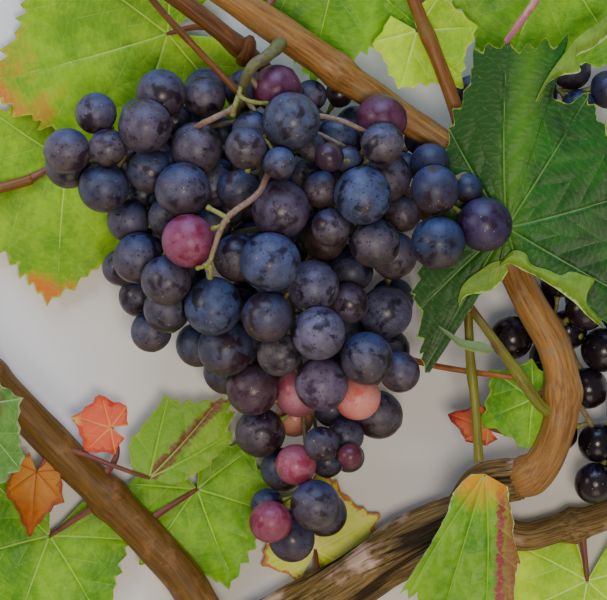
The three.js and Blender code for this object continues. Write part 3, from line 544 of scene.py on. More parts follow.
def clear_of_limbs(spot, r):
    """Whether a berry keeps its margin from every limb; a long limb is tested in stretches of its points,
    each with the radius that the part gives it."""
    for limb in [*BARK_LIMBS, *CANES, {"line": RACHIS_LINE, "radius": RACHIS_RADII}]:
        whole = (0, len(limb["line"]), max(limb["radius"]))
        for first, last, radius in limb.get("stretches", [whole]):
            if nearest_on(limb["line"][first:last], spot)[0] <= r + radius + LIMB_MARGIN:
                return False
    return True


def fill_ray(draw, sizes):
    """Draws a berry's size, height and turn, and moves it from the egg's skin inwards until it has room,
    hides behind no berry that is seen, and leaves the open place and the limbs clear."""
    r = (sizes["least"] + (sizes["most"] - sizes["least"]) * next(draw)) / 2
    y = sizes["lowest"] + (sizes["highest"] - sizes["lowest"]) * next(draw)
    turn = 2 * math.pi * (sizes["turns"][0] + sizes["turns"][1] * next(draw))
    cut = slice_at(y)
    out = 1.0
    while out > FILL_SEARCH["innermost"]:
        x = cut["x"] + out * math.cos(turn) * (cut["half_width"] - r)
        z = max(r, cut["z"] + out * math.sin(turn) * (cut["half_depth"] - r))
        skins = [math.dist((x, y, z), middle_of(b)) - b["r"] for b in berries]
        owner = berries[skins.index(min(skins))]["owner"]
        berry = {"owner": owner, "x": x, "y": y, "z": z, "r": r, "layer": 2}
        room = all(skin + b["r"] > reach_of(berry, b) for skin, b in zip(skins, berries))
        hides = any(b["layer"] < 2 and b["z"] < z
                    and math.hypot(x - b["x"], y - b["y"]) < FILL_SEARCH["hiding"] * b["r"] for b in berries)
        opens = (z > OPEN_PLACE["above"]
                 and math.hypot(x - OPEN_PLACE["x"], y - OPEN_PLACE["y"]) < OPEN_PLACE["radius"])
        if room and not hides and not opens and clear_of_limbs(np.array([x, y, z]), r):
            berries.append(berry)
            return
        out -= FILL_SEARCH["step"]


def fill_rays(sizes):
    """Tries as many rays as the sizes name, with one run of numbers."""
    draw = drawing(sizes["seed"])
    for _ in range(sizes["rays"]):
        fill_ray(draw, sizes)


fill_rays(BACK_BERRY)


# The two other bunches and the one behind the great leaf are looser eggs of dark berries. The two whose dark
# is set have darker skins and a darker, reddish bloom, whose darkness is partly painted shade, and the one
# behind the leaf lies on the right and takes the tones of painted shade. Each berry is placed on a ray from
# the egg's middle, where it first finds room.
SIDE_BUNCHES = [
    {"name": "second_bunch_high", "dark": True, "centre": [89, -10, 18.5], "half": [29, 29, 18.5],
     "berry": [13.5, 16], "count": 20, "stalk": [[79.5, -8, 36], [86, -7, 27], [92, -12, 18]], "seed": 5},
    {"name": "second_bunch_low", "dark": True, "centre": [99, -48, 18], "half": [22, 27, 18],
     "berry": [13.5, 16], "count": 17, "stalk": [[86.3, -31, 35.8], [93, -36, 27], [99, -46, 17]],
     "seed": 11},
    {"name": "upper_bunch", "dark": False, "centre": [80, 70, 16], "half": [32, 20, 14],
     "berry": [12, 14], "count": 9, "stalk": [[52.3, 58, 36.3], [64, 67, 28], [80, 71, 17]], "seed": 3},
]
SIDE_RAYS = 900
SIDE_STEP = 0.05


def side_ray(bunch, draw):
    """Draws a berry's size and direction and moves it from the egg's middle outwards until it has room."""
    r = (bunch["berry"][0] + (bunch["berry"][1] - bunch["berry"][0]) * next(draw)) / 2
    turn = 2 * math.pi * next(draw)
    rise = 2 * next(draw) - 1
    ring = math.sqrt(1 - rise * rise)
    out = 0.0
    while out <= 1:
        x = bunch["centre"][0] + out * ring * math.cos(turn) * (bunch["half"][0] - r)
        y = bunch["centre"][1] + out * ring * math.sin(turn) * (bunch["half"][1] - r)
        z = max(r, bunch["centre"][2] + out * rise * (bunch["half"][2] - r))
        berry = {"owner": bunch["name"], "x": x, "y": y, "z": z, "r": r, "layer": 2}
        if (all(math.dist((x, y, z), middle_of(b)) > reach_of(berry, b) for b in berries)
                and clear_of_limbs(np.array([x, y, z]), r)):
            berries.append(berry)
            return
        out += SIDE_STEP


for bunch in SIDE_BUNCHES:
    draw = drawing(bunch["seed"])
    for _ in range(SIDE_RAYS):
        if sum(b["owner"] == bunch["name"] for b in berries) < bunch["count"]:
            side_ray(bunch, draw)
fill_rays(INNER_BERRY)
for x, y, diameter in GAP_BERRIES:
    nearest = min(berries, key=lambda b: math.hypot(b["x"] - x, b["y"] - y))
    place_from_front({"name": nearest["owner"], "top": GAP_TOP}, [x, y, diameter], 1)


# Stalks: each part bunch hangs on a branch of the main stalk, and a berry stalk with a swollen collar runs
# to each berry from what hangs nearest to it. Pinkish brown where old, yellow-green at the berries.
PEDICEL_RADII, PEDICEL_AGES, PEDICEL_COLLAR = [0.62, 0.62], [0.5, 1], 0.5
BRANCH_RADII, BRANCH_AGES = [1.05, 0.84], [0.2, 0.5]
STALK_AROUND, STALK_RING = 10, 0.9
COLLAR_WIDTH = 1.3
STALK_UNEVENNESS = 0.05
FOOT_DEPTH = 0.97
PEDICEL_BEND = np.array([0.4, 0.7, 0])
BEND_TURN = 7
SHORTEST_PEDICEL = 1.5


def stalk_part(line, radii, young, collar=0.0):
    """A stalk with its age, given at even steps from foot to tip: 0 is woody brown, 1 is green. Collar is a
    flare of the tip in millimetres, a bell curve of the distance from it."""
    def flare(along, length, angle, r):
        """The collar's bell curve, and three slow ridges round the stalk."""
        bell = collar * np.exp(-(((length - along) / COLLAR_WIDTH) ** 2))
        return bell + STALK_UNEVENNESS * r * np.sin(3 * angle + along)

    verts, faces, grain = carried_tube(line, radii, STALK_AROUND, STALK_RING, flare)
    age = np.interp(grain[:, 2], np.linspace(0, grain[:, 2].max(), len(young)), young)
    return verts, faces, {"grain": grain + np.sum(line[0]), "young": age}


def stalk_lines(owned, stalk):
    """Berry stalks of a part bunch, each from the nearest point that already hangs: the branch or another
    berry's foot. Returns the lines, and the direction in which each berry hangs from its foot."""
    middles = np.array([middle_of(b) for b in owned])
    radii = np.array([b["r"] for b in owned])
    feet, lines, axes = [], [], []
    reach = np.array([nearest_on(stalk, spot)[0] for spot in middles]) - radii
    for i in np.argsort(reach):
        starts = [nearest_on(stalk, middles[i])[1]] + feet
        start = min(starts, key=lambda s: np.linalg.norm(s - middles[i]))
        away = middles[i] - start
        away = away / max(np.linalg.norm(away), 1e-6)
        foot = middles[i] - FOOT_DEPTH * radii[i] * away
        bend = (start + foot) / 2 + PEDICEL_BEND * math.sin(BEND_TURN * i)
        if np.linalg.norm(foot - start) > SHORTEST_PEDICEL:
            lines.append([start, bend, foot])
            feet.append((start + foot) / 2)
        axes.append((i, away))
    order = [axis for _, axis in sorted(axes, key=lambda pair: pair[0])]
    return lines, np.array(order)


def stalk_material(name, old, young, dot):
    """Old bark or young skin by the stalk's age, mottled and with warts of a third colour."""
    material, tree = new_material(name)
    grain = add(tree, "Attribute", attribute_name="grain").outputs["Vector"]
    age = add(tree, "Attribute", attribute_name="young").outputs["Fac"]
    mottle = add(tree, "TexNoise", {0: grain, 2: 0.9, 3: 4})
    warts = add(tree, "TexVoronoi", {0: grain, 2: 1.4})
    shade = add(tree, "MapRange", {0: mottle, 1: 0.42, 2: 0.66, 3: 0, 4: 0.55})
    wart = add(tree, "MapRange", {0: warts, 1: 0.18, 2: 0.26, 3: 0.6, 4: 0})
    colour = linear(old)
    for mask, over in ((age, young), (shade, dot), (wart, dot)):
        colour = add(tree, "Mix", {0: mask, 6: colour, 7: linear(over)}, data_type="RGBA")
    finish_skin(tree, colour, 0.5, mottle, 0.4, 0.2)
    return material


stalk_skin = stalk_material("lignified_bunch_stalk", "#98786a", "#96a040", "#5e4234")
knee_skin = stalk_material("grey_green_bunch_stalk", "#6c5e44", "#747c3c", "#4a4030")


# The main stalk: a pale green collar where it leaves the cane, a grey-green knee, then brown.
RACHIS_GIRTH = [2.9, 2.1, 2.0, 1.6, 1.4, 1.4, 1.4, 1.4, 1.4, 1.3]
RACHIS_AGES = [1.0, 0.5, 0.55, 0.35, 0.2, 0.2, 0.2, 0.2]
put_piece("main_stalk", *stalk_part(RACHIS_LINE, RACHIS_GIRTH, RACHIS_AGES), [knee_skin], "stalk", ["rachis"])

# What shows of the branches between the berries: the one that carries the red berry, with its green
# side stalks, and those of the two shoulders. Each has its line, its radii and its ages.
SHOWING_BRANCHES = [
    ([[-8, 50, 50], [-12, 41, 63], [-15, 35, 67.5], [-25, 27, 70], [-28, 21, 69], [-31.5, 10, 66]],
     [1.15, 1.1, 1.05, 1.05, 0.95, 0.75], [0, 0, 0.05, 0.2, 0.5]),
    ([[-25, 27, 70], [-28, 28.6, 70], [-31.5, 30.5, 68]], [0.9, 0.7], [0.8, 1]),
    ([[-24.5, 26.5, 70], [-27, 24.5, 69.5], [-30, 23.5, 67.5]], [0.8, 0.6], [0.8, 1]),
    ([[-30, 14, 67.5], [-32, 11.5, 67], [-35, 10.5, 64]], [0.7, 0.6], [0.8, 1]),
    ([[-31, 11.5, 67], [-30.5, 9.5, 66], [-30.8, 7.5, 63]], [0.9, 0.8], [0.8, 1]),
    ([[-19.5, 68, 50], [-24, 63, 55], [-31, 59.5, 57], [-37, 56.5, 50], [-42, 52, 40]], [1.15, 0.9],
     [0.15, 0]),
    ([[-20, 72, 52], [-21, 67.5, 55.5], [-17, 65.5, 56], [-11.5, 65, 54]], [0.9, 0.7], [0.9, 1]),
    ([[-21.5, 67.5, 54], [-22.5, 64.5, 56.5], [-23.5, 61, 55]], [1.0, 0.9], [1, 0.7]),
    ([[-18, 74, 53], [-8, 63, 51], [5.5, 61, 52], [12, 59.5, 54], [19, 56.5, 54], [27, 52, 48]], [1.1, 0.8],
     [0.2, 0.2]),
    ([[-5, 58, 44], [5, 55, 51], [11, 52, 53], [16, 49.5, 50]], [1.0, 0.8], [0.1, 0.3]),
    ([[58, 43, 36], [52, 41, 50], [49, 39, 58], [46, 37, 62]], [1.2, 0.9], [0.2, 0.6]),
]
BRANCH_COLLAR = 0.35
put_piece("showing_branches", *joined([stalk_part(*branch, BRANCH_COLLAR) for branch in SHOWING_BRANCHES]),
          [stalk_skin], "stalk", [])

# A leaf's bare stalk from above the shoulder, a broken spur on the lower cane and a pink leaf stalk above
# the great leaf.
SPURS = [
    {"name": "bare_leaf_stalk", "finish": "dark_cane", "radii": [1.4, 1.2, 1.15, 1.3],
     "line": [[-58, 112, 40], [-49.5, 99, 42], [-35, 83, 44], [-21, 68.3, 46]]},
    {"name": "broken_spur", "finish": "dark_cane", "radii": [2.4, 3.0, 2.3, 2.0, 0.8],
     "line": [[-20.5, 80, 17], [-19.5, 82.5, 19], [-18.5, 85, 20.5], [-18, 87.5, 21], [-17.5, 89, 21]]},
    {"name": "pink_leaf_stalk", "finish": "pink", "radii": [1.2, 1.25, 1.3, 1.3, 0.9],
     "line": [[86, 113, 26], [81, 106, 35], [76.5, 98.5, 42], [71.5, 91.5, 46], [67, 85.5, 47.5]]},
]
SPUR_AROUND, SPUR_RING, SPUR_NODE = 28, 0.5, 0.5
SPUR_SEED = 400
SPUR_GRAIN_STEP = 11.0
for number, spur in enumerate(SPURS):
    verts, faces, grain = carried_tube(spur["line"], spur["radii"], SPUR_AROUND, SPUR_RING,
                                       cane_relief(SPUR_SEED + number, [SPUR_NODE]))
    put_piece(spur["name"], verts, faces, {"grain": grain + SPUR_GRAIN_STEP * number},
              [CANE_FINISHES[spur["finish"]]], STALK_SLOTS.get(spur["finish"], "cane"), [])


# Berries: skin nearly black-violet under a powdery wax bloom, rubbed thin where berries touch and press each
# other flat.
# The bloom is bluer on the side that faces up the sheet and browner below. This is partly the bloom's own
# change, as that side faced the sky, and partly painted light: a painted cool skylight above and painted
# shade below. The berries on the right are given darker, bluer tones, which are painted shade. Those with
# colours of their own, some of them still red,
# have a row each: the place, skin and bloom colours, and amount of bloom.
BERRY_AROUND, BERRY_DOWN = 40, 26
SKIN_TONES = ["#1e131b", "#26161e", "#2e1a1f", "#1a1520"]
DUST_TONES = ["#67606f", "#5c5566", "#4d506a", "#6a5e68", "#4c5470", "#5f5c72"]
# Darker, bluer bloom tones for the berries on the right: painted shade.
PAINTED_SHADE_TONES = ["#2b3652", "#343a58", "#30405f"]
# Bloom tones up and down the sheet: the bloom's own change, together with painted cool skylight above and
# painted brown shade below.
SKY_BLOOM_AND_PAINTED_SKYLIGHT, BROWN_BLOOM_AND_PAINTED_SHADE = "#364a7c", "#56463f"
# Berries further right than this take those tones of painted shade.
PAINTED_SHADE_FROM = 36
# The dark bunches: dark skins, and a dark reddish bloom whose darkness is partly painted shade.
DARK_SKINS = ["#140b10", "#1a0c10", "#1c0c14", "#120a10"]
DARK_DUST_AND_PAINTED_SHADE = ["#33242c", "#3a2a2c", "#2a2430"]
SPECIAL_BERRIES = [
    (-38, 19.5, "#7c1832", "#a26084", 0.62), (-9, 70, "#4a1024", "#80446a", 0.5),
    (26, 60, "#4a1228", "#7a4a68", 0.5), (60, 25, "#2c1228", "#453c66", 0.7),
    (18, -32.5, "#f07464", "#f8bcb4", 0.65), (-1.5, -31, "#ac4c62", "#d09ca6", 0.55),
    (-3, -39.5, "#d88068", "#f0bca0", 0.55), (6, -28, "#3a2238", "#80708a", 0.8),
    (-2.5, -55, "#94304a", "#c0788a", 0.6), (-11, -74, "#7e2038", "#a85e74", 0.55),
    (15.5, -52, "#5a1c2c", "#7c4a58", 0.4), (-17, -30, "#3c1c26", "#6c5866", 0.6),
    (18, -19.5, "#1f1a24", "#787690", 0.9), (-30, 38, "#2c2430", "#706878", 0.85),
    (8.5, 47, "#2c1420", "#503a48", 0.35), (7, 20.5, "#2e1c1c", "#5c4c44", 0.4),
    (-8, -18, "#241c20", "#6c646a", 0.75), (-11, 12.5, "#1f1a28", "#545e82", 0.92),
    (19.5, 34.5, "#1f1a28", "#505e84", 0.95), (-30, -2, "#1f1a24", "#4c5a80", 0.9),
    (-7.5, 30, "#2c1820", "#6a607a", 0.7), (-4, 59, "#2a1e1a", "#5c688a", 0.66),
    (3, 4.5, "#241a24", "#74708a", 0.85), (5, -11, "#241a24", "#7a748e", 0.85),
    (15, -1, "#241820", "#76687a", 0.85), (27.5, -4, "#241a24", "#6c6c8c", 0.88),
    (-52.5, 57.5, "#241418", "#6a6074", 0.72), (-35.5, 50.5, "#241418", "#6c6270", 0.72),
]
SPECIAL_REACH = 0.6
PICKS = 1000
# Shares of the upper and lower tones, with their painted skylight and shade: weak for berries of their own
# colours and the dark bunches, strong for the rest.
WEAK_BLOOM_AND_PAINTED_LIGHT_SHARE, BLOOM_AND_PAINTED_LIGHT_SHARE = 0.3, 0.85
DARK_AMOUNT, BLOOM_AMOUNT = (0.3, 0.3), (0.78, 0.2)
FACING_START, FACING_RANGE = 0.1, 0.75
BERRY_GIRTH = (0.965, 1.0)
OVAL = 0.012
SCAR_WIDTH, SCAR_HEIGHT = 0.09, 0.28
DIMPLE_WIDTH, DIMPLE_DEPTH = 0.5, 0.5
SIDEWAYS = [0.31, 0.52, 0.79]
PRESS_GAP = 0.03
BERRY_TILT = 0.35
SKIN_SPREAD = 400


def berry_mesh(berry, axis, neighbours, draw):
    """A sphere of rings from the stalk end to the free end, with a dimple at the stalk and a small raised
    scar at the free end, cut flat by the plane it shares with each berry that it presses against. Returns
    also each vertex's place on the round berry, its distance short of the free end and how far it faces
    up the sheet, from -1 to 1."""
    r = berry["r"]
    down = np.linspace(0, np.pi, BERRY_DOWN + 2)[1:-1]
    turn = np.linspace(0, 2 * np.pi, BERRY_AROUND, endpoint=False)
    z = np.concatenate([[-1], (-np.cos(down)[:, None] * np.ones(BERRY_AROUND)).ravel(), [1]])
    x = np.concatenate([[0], (np.sin(down)[:, None] * np.cos(turn)).ravel(), [0]])
    y = np.concatenate([[0], (np.sin(down)[:, None] * np.sin(turn)).ravel(), [0]])
    local = np.stack([x, y, z], -1)
    girth = draw.uniform(*BERRY_GIRTH)
    scar = np.exp(-(((1 - z) * r / SCAR_WIDTH) ** 2))
    dimple = np.exp(-(((1 + z) * r / DIMPLE_WIDTH) ** 2))
    size = r * (1 + OVAL * np.sin(2 * np.arctan2(y, x) + draw.uniform(0, 6)) * (x ** 2 + y ** 2))
    shape = local * (size + SCAR_HEIGHT * scar - DIMPLE_DEPTH * dimple)[:, None] * [girth, girth, 1]
    side = np.cross(axis, SIDEWAYS)
    side /= np.linalg.norm(side)
    turned = shape @ np.stack([side, np.cross(axis, side), axis])
    middle = np.array(middle_of(berry))
    for other in neighbours:
        away = np.array(middle_of(other)) - middle
        gap = np.linalg.norm(away)
        if gap < r + other["r"]:
            wall = (gap ** 2 + r ** 2 - other["r"] ** 2) / (2 * gap)
            over = np.maximum(turned @ (away / gap) - wall + PRESS_GAP, 0)
            turned = turned - over[:, None] * (away / gap)
    verts = turned + middle
    verts[:, 2] = np.maximum(verts[:, 2], FLOOR_GAP)
    faces = closed_rings(BERRY_DOWN, BERRY_AROUND, 1, 0, len(verts) - 1)
    return verts, faces, local * r, (1 - z) * r, (verts - middle)[:, 1] / r


def berry_material(name, waxed, bare):
    """Skin under wax, with the roughness of each. The wax thickness is a cloud of noise, taken off in
    sharp-edged rubs and in specks; round the scar the skin is corky."""
    material, tree = new_material(name)
    outputs = {"skin": "Vector", "flesh": "Color", "dust": "Color", "amount": "Fac", "scar": "Fac"}
    skin, flesh, dust, amount, scar = (add(tree, "Attribute", attribute_name=key).outputs[output]
                                       for key, output in outputs.items())
    cloud = add(tree, "TexNoise", {0: skin, 2: 0.24, 3: 6, 4: 0.66})
    rub = add(tree, "TexNoise", {0: skin, 2: 0.14, 3: 5, 4: 0.6, 8: 0.3})
    fine = add(tree, "TexNoise", {0: skin, 2: 1.9, 3: 4})
    specks = add(tree, "TexVoronoi", {0: skin, 2: 0.55})
    crumbs = add(tree, "TexVoronoi", {0: skin, 2: 0.34})
    wax = add(tree, "MapRange", {0: cloud, 1: 0.36, 2: 0.66, 3: 0.45, 4: 1.2})
    wiped = add(tree, "MapRange", {0: rub, 1: 0.53, 2: 0.6, 3: 1, 4: 0.12})
    grainy = add(tree, "MapRange", {0: fine, 1: 0.32, 2: 0.68, 3: 0.78, 4: 1.1})
    speck_size = add(tree, "MapRange", {0: fine, 1: 0.4, 2: 0.66, 3: 0.1, 4: 0.3})
    off_speck = add(tree, "Math", {0: specks, 1: speck_size}, operation="GREATER_THAN")
    specked = add(tree, "MapRange", {0: off_speck, 1: 0, 2: 1, 3: 0.15, 4: 1})
    for share in (wiped, grainy, specked, amount):
        wax = add(tree, "Math", {0: wax, 1: share}, operation="MULTIPLY")
    wax.use_clamp = True
    corky = add(tree, "MapRange", {0: scar, 1: 0.03, 2: 0.4, 3: 0.5, 4: 0})
    browned = add(tree, "Math", {0: corky, 1: fine}, operation="MULTIPLY")
    tip = add(tree, "MapRange", {0: scar, 1: 0.012, 2: 0.03, 3: 0.9, 4: 0})
    crumb = add(tree, "MapRange", {0: crumbs, 1: 0.045, 2: 0.08, 3: 0.75, 4: 0})
    # The wax's colour comes from the dust attribute: the bloom's tone with painted skylight above and painted
    # shade below.
    colour = flesh
    for mask, over in ((wax, dust), (browned, linear("#3a2a20")), (tip, linear("#6a5440")),
                       (crumb, linear("#b4a8b0"))):
        colour = add(tree, "Mix", {0: mask, 6: colour, 7: over}, data_type="RGBA")
    gloss = add(tree, "MapRange", {0: wax, 1: 0.1, 2: 0.6, 3: bare, 4: waxed})
    finish_skin(tree, colour, gloss, fine, 0.2, 0.2)
    return material


bloomed = berry_material("bloomed_berry_skin", 0.46, 0.3)
glossy = berry_material("rubbed_berry_skin", 0.3, 0.2)


def bloom_with_painted_light(tone, facing, share):
    """The bloom's colour at each vertex: towards a cool tone where it faces up the sheet and a brown one
    where it faces down, by that share, each a smooth step of the facing from FACING_START on. Partly the
    bloom's own change, partly painted
    light: painted skylight above and painted shade below."""
    step = np.clip((np.abs(facing) - FACING_START) / FACING_RANGE, 0, 1)
    weight = share * step * step * (3 - 2 * step)
    far = np.where(facing[:, None] > 0, linear(SKY_BLOOM_AND_PAINTED_SKYLIGHT), linear(BROWN_BLOOM_AND_PAINTED_SHADE))
    return np.array(linear(tone)) * (1 - weight[:, None]) + far * weight[:, None]


def berry_tones(berry, dark, draw):
    """Skin, bloom tone, amount of bloom and share of the upper and lower tones, with their painted skylight
    and shade, of one berry.
    """
    pick, level = draw.integers(PICKS), draw.uniform(0, 1)
    for x, y, skin, dust, amount in SPECIAL_BERRIES:
        if berry["layer"] < 2 and math.hypot(x - berry["x"], y - berry["y"]) < SPECIAL_REACH:
            return skin, dust, amount, WEAK_BLOOM_AND_PAINTED_LIGHT_SHARE
    # Berries on the right take the darker tones of painted shade; the dark bunches take dark skins and a
    # bloom colour darkened partly as painted shade.
    skins, tones = SKIN_TONES, PAINTED_SHADE_TONES if berry["x"] > PAINTED_SHADE_FROM else DUST_TONES
    (least, spread), share = BLOOM_AMOUNT, BLOOM_AND_PAINTED_LIGHT_SHARE
    if dark:
        skins, tones, (least, spread), share = DARK_SKINS, DARK_DUST_AND_PAINTED_SHADE, DARK_AMOUNT, WEAK_BLOOM_AND_PAINTED_LIGHT_SHARE
    return skins[pick % len(skins)], tones[pick % len(tones)], least + spread * level, share


def build_bunch(name, stalk, dark, slot):
    """One piece with the berries of a part bunch and one with its stalks. Each berry is tilted a little off
    its stalk, and its skin is cut from its own place in the noise."""
    draw = np.random.default_rng(sum(map(ord, name)))
    owned = [b for b in berries if b["owner"] == name]
    lines, axes = stalk_lines(owned, stalk)
    parts = []
    for berry, axis in zip(owned, axes):
        near = [b for b in berries if b is not berry
                and math.dist(middle_of(b), middle_of(berry)) < b["r"] + berry["r"]]
        axis = axis + draw.normal(0, BERRY_TILT, 3)
        verts, faces, local, free_end, facing = berry_mesh(berry, axis / np.linalg.norm(axis), near, draw)
        skin, tone, amount, share = berry_tones(berry, dark, draw)
        ones = np.ones(len(verts))
        # The dust attribute holds the bloom's tone with its painted skylight above and painted shade below.
        parts.append((verts, faces, {
            "skin": local + draw.uniform(-SKIN_SPREAD, SKIN_SPREAD, 3), "flesh": np.outer(ones, linear(skin)),
            "dust": bloom_with_painted_light(tone, facing, share), "amount": amount * ones, "scar": free_end}))
    put_piece(name + "_berries", *joined(parts), [glossy if dark else bloomed], slot, [name])
    branches = [stalk_part(stalk, BRANCH_RADII, BRANCH_AGES)]
    branches += [stalk_part(line, PEDICEL_RADII, PEDICEL_AGES, PEDICEL_COLLAR) for line in lines]
    put_piece(name + "_stalks", *joined(branches), [stalk_skin], "stalk", [])


for part in PART_BUNCHES:
    middle = np.mean([middle_of(b) for b in berries if b["owner"] == part["name"]], axis=0)
    build_bunch(part["name"], [nearest_on(RACHIS_LINE, middle)[1], middle], False, "berry")
for bunch in SIDE_BUNCHES:
    build_bunch(bunch["name"], bunch["stalk"], bunch["dark"], "dark_berry")


# Leaves: thin blades of toothed lobes, each on a reddish stalk. The upper face is puckered between its
# veins, which spread from the foot of the blade and branch at a slant; the underside is paler. A lobe has
# its angle off the midrib and its share of the leaf's reach.
FIVE_LOBES = [[-158, 0.45], [-112, 0.68], [-56, 0.88], [0, 1], [56, 0.88], [112, 0.68], [158, 0.45]]
FOLDED_LOBES = [[-150, 0.35], [-105, 0.42], [-50, 0.6], [0, 1], [50, 0.6], [105, 0.42], [150, 0.35]]
BIG_LOBES = [[-178, 0.28], [-162, 0.18], [-140, 0.24], [-126, 0.32], [-120, 0.74], [-105, 0.8],
             [-64, 0.95], [-29, 0.72], [-18, 0.79], [-10, 0.68], [-5.5, 0.72], [-5, 0.99], [1.4, 0.96],
             [14, 0.93], [20, 0.92], [24, 0.88], [28, 0.74], [37, 0.65], [46, 0.54], [58, 0.5],
             [105, 0.42], [140, 0.6], [155, 0.7], [160, 0.79], [165, 0.82], [168, 0.5], [171, 0.37],
             [180, 0.3]]
HANGING_LOBES = [[-94, 0.08], [-75, 0.15], [-60, 0.25], [-48, 0.34], [-43, 0.5], [-40.5, 0.85],
                 [-20, 0.96], [0, 1], [9, 0.74], [13, 0.62], [17, 0.57], [19, 0.42], [26, 0.34],
                 [36, 0.22], [56, 0.16]]
TURNED_LOBES = [[-62, 0.2], [-48, 0.3], [-19, 0.8], [0, 1], [34, 0.72], [78, 0.34], [112, 0.16]]
USUAL_LEAF = {"pitch": 0, "roll": 0, "droop": 0.05, "wave": 0.05, "lobes": FIVE_LOBES, "slot": "leaf"}
LEAVES = [
    {"name": "leaf_big", "at": [67.5, 24, 47], "midrib": 77, "reach": 67, "pitch": -2, "roll": -4,
     "wave": 0.03, "lobes": BIG_LOBES, "petiole": [[54.7, -1.2, 39], [54.5, 8, 38.5], [59, 19, 42]],
     "look": "deep", "band": 5, "veins": [-150, -108, -65, -20, 17, 46, 105, 143, 162], "tooth_arc": 7},
    {"name": "leaf_left_high", "at": [-46, 90, 11], "midrib": 198, "reach": 66, "roll": 2, "wave": 0.04,
     "petiole": [[-30, 92, 21], [-38, 92, 14]], "look": "yellow_green", "slot": "pale_leaf"},
    {"name": "leaf_left_low", "at": [-80, 47, 7], "midrib": 262, "reach": 50, "droop": 0.04, "wave": 0.04,
     "petiole": [[-93, 40.7, 9], [-87, 44, 8]], "look": "yellow_green", "slot": "pale_leaf"},
    {"name": "leaf_top", "at": [12, 116, 28], "midrib": 258, "reach": 45, "droop": 0.06,
     "petiole": [[-14, 94, 45.3], [-5, 107, 37]], "look": "fresh", "slot": "pale_leaf"},
    {"name": "leaf_top_right", "at": [85, 116, 25], "midrib": 243, "reach": 50, "wave": 0.04,
     "petiole": [[37, 99, 41], [55, 111, 37]], "look": "fresh"},
    {"name": "leaf_lime", "at": [38, 90, 33.5], "midrib": 308, "reach": 24,
     "petiole": [[40, 91.5, 40.6], [39.5, 91, 37]], "look": "lime", "slot": "pale_leaf"},
    {"name": "leaf_hanging", "at": [60.5, -58, 39], "midrib": 275, "reach": 58, "roll": -8, "droop": 0.08,
     "wave": 0.04, "lobes": HANGING_LOBES, "petiole": [[61, -63, 20], [59.5, -59, 33]], "look": "turning",
     "band": -5.6, "beside": 5.6, "veins": [-42, -22, 0]},
    {"name": "leaf_low_right", "at": [96, -95, 9], "midrib": 262, "reach": 40,
     "petiole": [[94, -77, 10], [95.5, -90, 10]], "look": "lime", "slot": "pale_leaf"},
    {"name": "leaf_left_edge", "at": [-113, -36, 26], "midrib": 264, "reach": 46, "roll": 8, "droop": 0.06,
     "lobes": FOLDED_LOBES, "petiole": [[-106, -26, 12], [-110, -31, 21]], "look": "silver"},
    {"name": "leaf_left_bottom", "at": [-86, -80, 6], "midrib": 248, "reach": 42,
     "petiole": [[-66, -67, 12], [-77, -74, 9]], "look": "fresh", "slot": "pale_leaf"},
    {"name": "leaf_mid_left", "at": [-52, -60, 15], "midrib": 44, "reach": 40, "roll": 4, "droop": 0.06,
     "lobes": TURNED_LOBES, "petiole": [[-81, -50, 13], [-74, -52, 19.5], [-58, -58, 18]],
     "look": "striped", "band": 3, "girth": [1.0, 0.7]},
    {"name": "leaf_low_middle", "at": [-36, -64, 8.5], "midrib": 288, "reach": 36, "droop": 0.04,
     "petiole": [[-56, -77, 12], [-47, -71, 11]], "look": "fresh"},
    {"name": "leaf_yellow", "at": [4, -85, 4.2], "midrib": 84, "reach": 28, "droop": 0.04,
     "petiole": [[8, -100, 12], [4.5, -90, 6]], "look": "yellow", "slot": "pale_leaf"},
    {"name": "leaf_orange", "at": [-65, -43, 16], "midrib": 165, "reach": 14, "roll": 6, "droop": 0.08,
     "wave": 0.1, "petiole": [[-70, -63, 12], [-63, -52, 15]], "look": "orange", "slot": "red_leaf"},
    {"name": "leaf_brown", "at": [-90, -58, 14], "midrib": 262, "reach": 22, "roll": 8, "droop": 0.08,
     "wave": 0.08, "lobes": FOLDED_LOBES, "petiole": [[-84, -49, 12], [-88, -55, 14]], "look": "rust",
     "slot": "red_leaf"},
    {"name": "leaf_small", "at": [77, -33, 31], "midrib": 205, "reach": 20, "roll": 6, "droop": 0.08,
     "wave": 0.08, "petiole": [[85.5, -24, 36], [81, -30, 32.5]], "look": "fresh"},
    {"name": "leaf_red", "at": [62, -43, 24], "midrib": 160, "reach": 15, "roll": 10, "droop": 0.1,
     "wave": 0.1, "lobes": FOLDED_LOBES, "petiole": [[84.5, -47, 32], [74, -46, 26]], "look": "red",
     "slot": "red_leaf"},
]
LEAF_BAY, BAY_POWER = 0.19, 0.8
FULL_BAY = 45
LEAF_WAVES = 5
BLADE_THICKNESS = 0.5
LEAST_RAYS, RAYS_PER_MM = 170, 7.5
LEAST_RINGS, RINGS_PER_MM = 30, 0.95
RING_POWER = 1.15
LEAST_VEIN = 0.4
SLOW_WAVES, SLOW_HEIGHT = 5, 0.6
SLOW_RATES = (0.05, 0.16)
RIM_SLOPE, RIM_LEAST = 8, 0.15
GROOVE_SLOPE, GROOVE_START = 0.45, 5
TOOTH_ARC = 5.2
TOOTH_RISE = 0.075
TOOTH_PEAK, TOOTH_POWER = 0.62, 1.2
TOOTH_SHIFT = 0.3
TOOTH_HEIGHTS = (0.3, 1.4)
LEAST_TEETH = 8
VEIN_SPACING = 8.5
LADDER_STEP = 2.1
MAIN_VEIN, SIDE_VEIN = 0.28, 0.16
VEIN_BEND = 0.1
VEIN_START, THINNEST_VEIN = 1.2, 0.3
SIDE_SLANT, SIDE_SHIFT, SIDE_COSINE = 0.9, 0.37, 0.7
BULGE_ACROSS, BULGE_ALONG = 1.5, 6
LADDER_SHIFT = 0.6
NO_VEIN = 9
PUCKER = 0.3
VEIN_GROOVE = 0.25
CALM_FOOT = 3.0
NO_BAND = 99.0


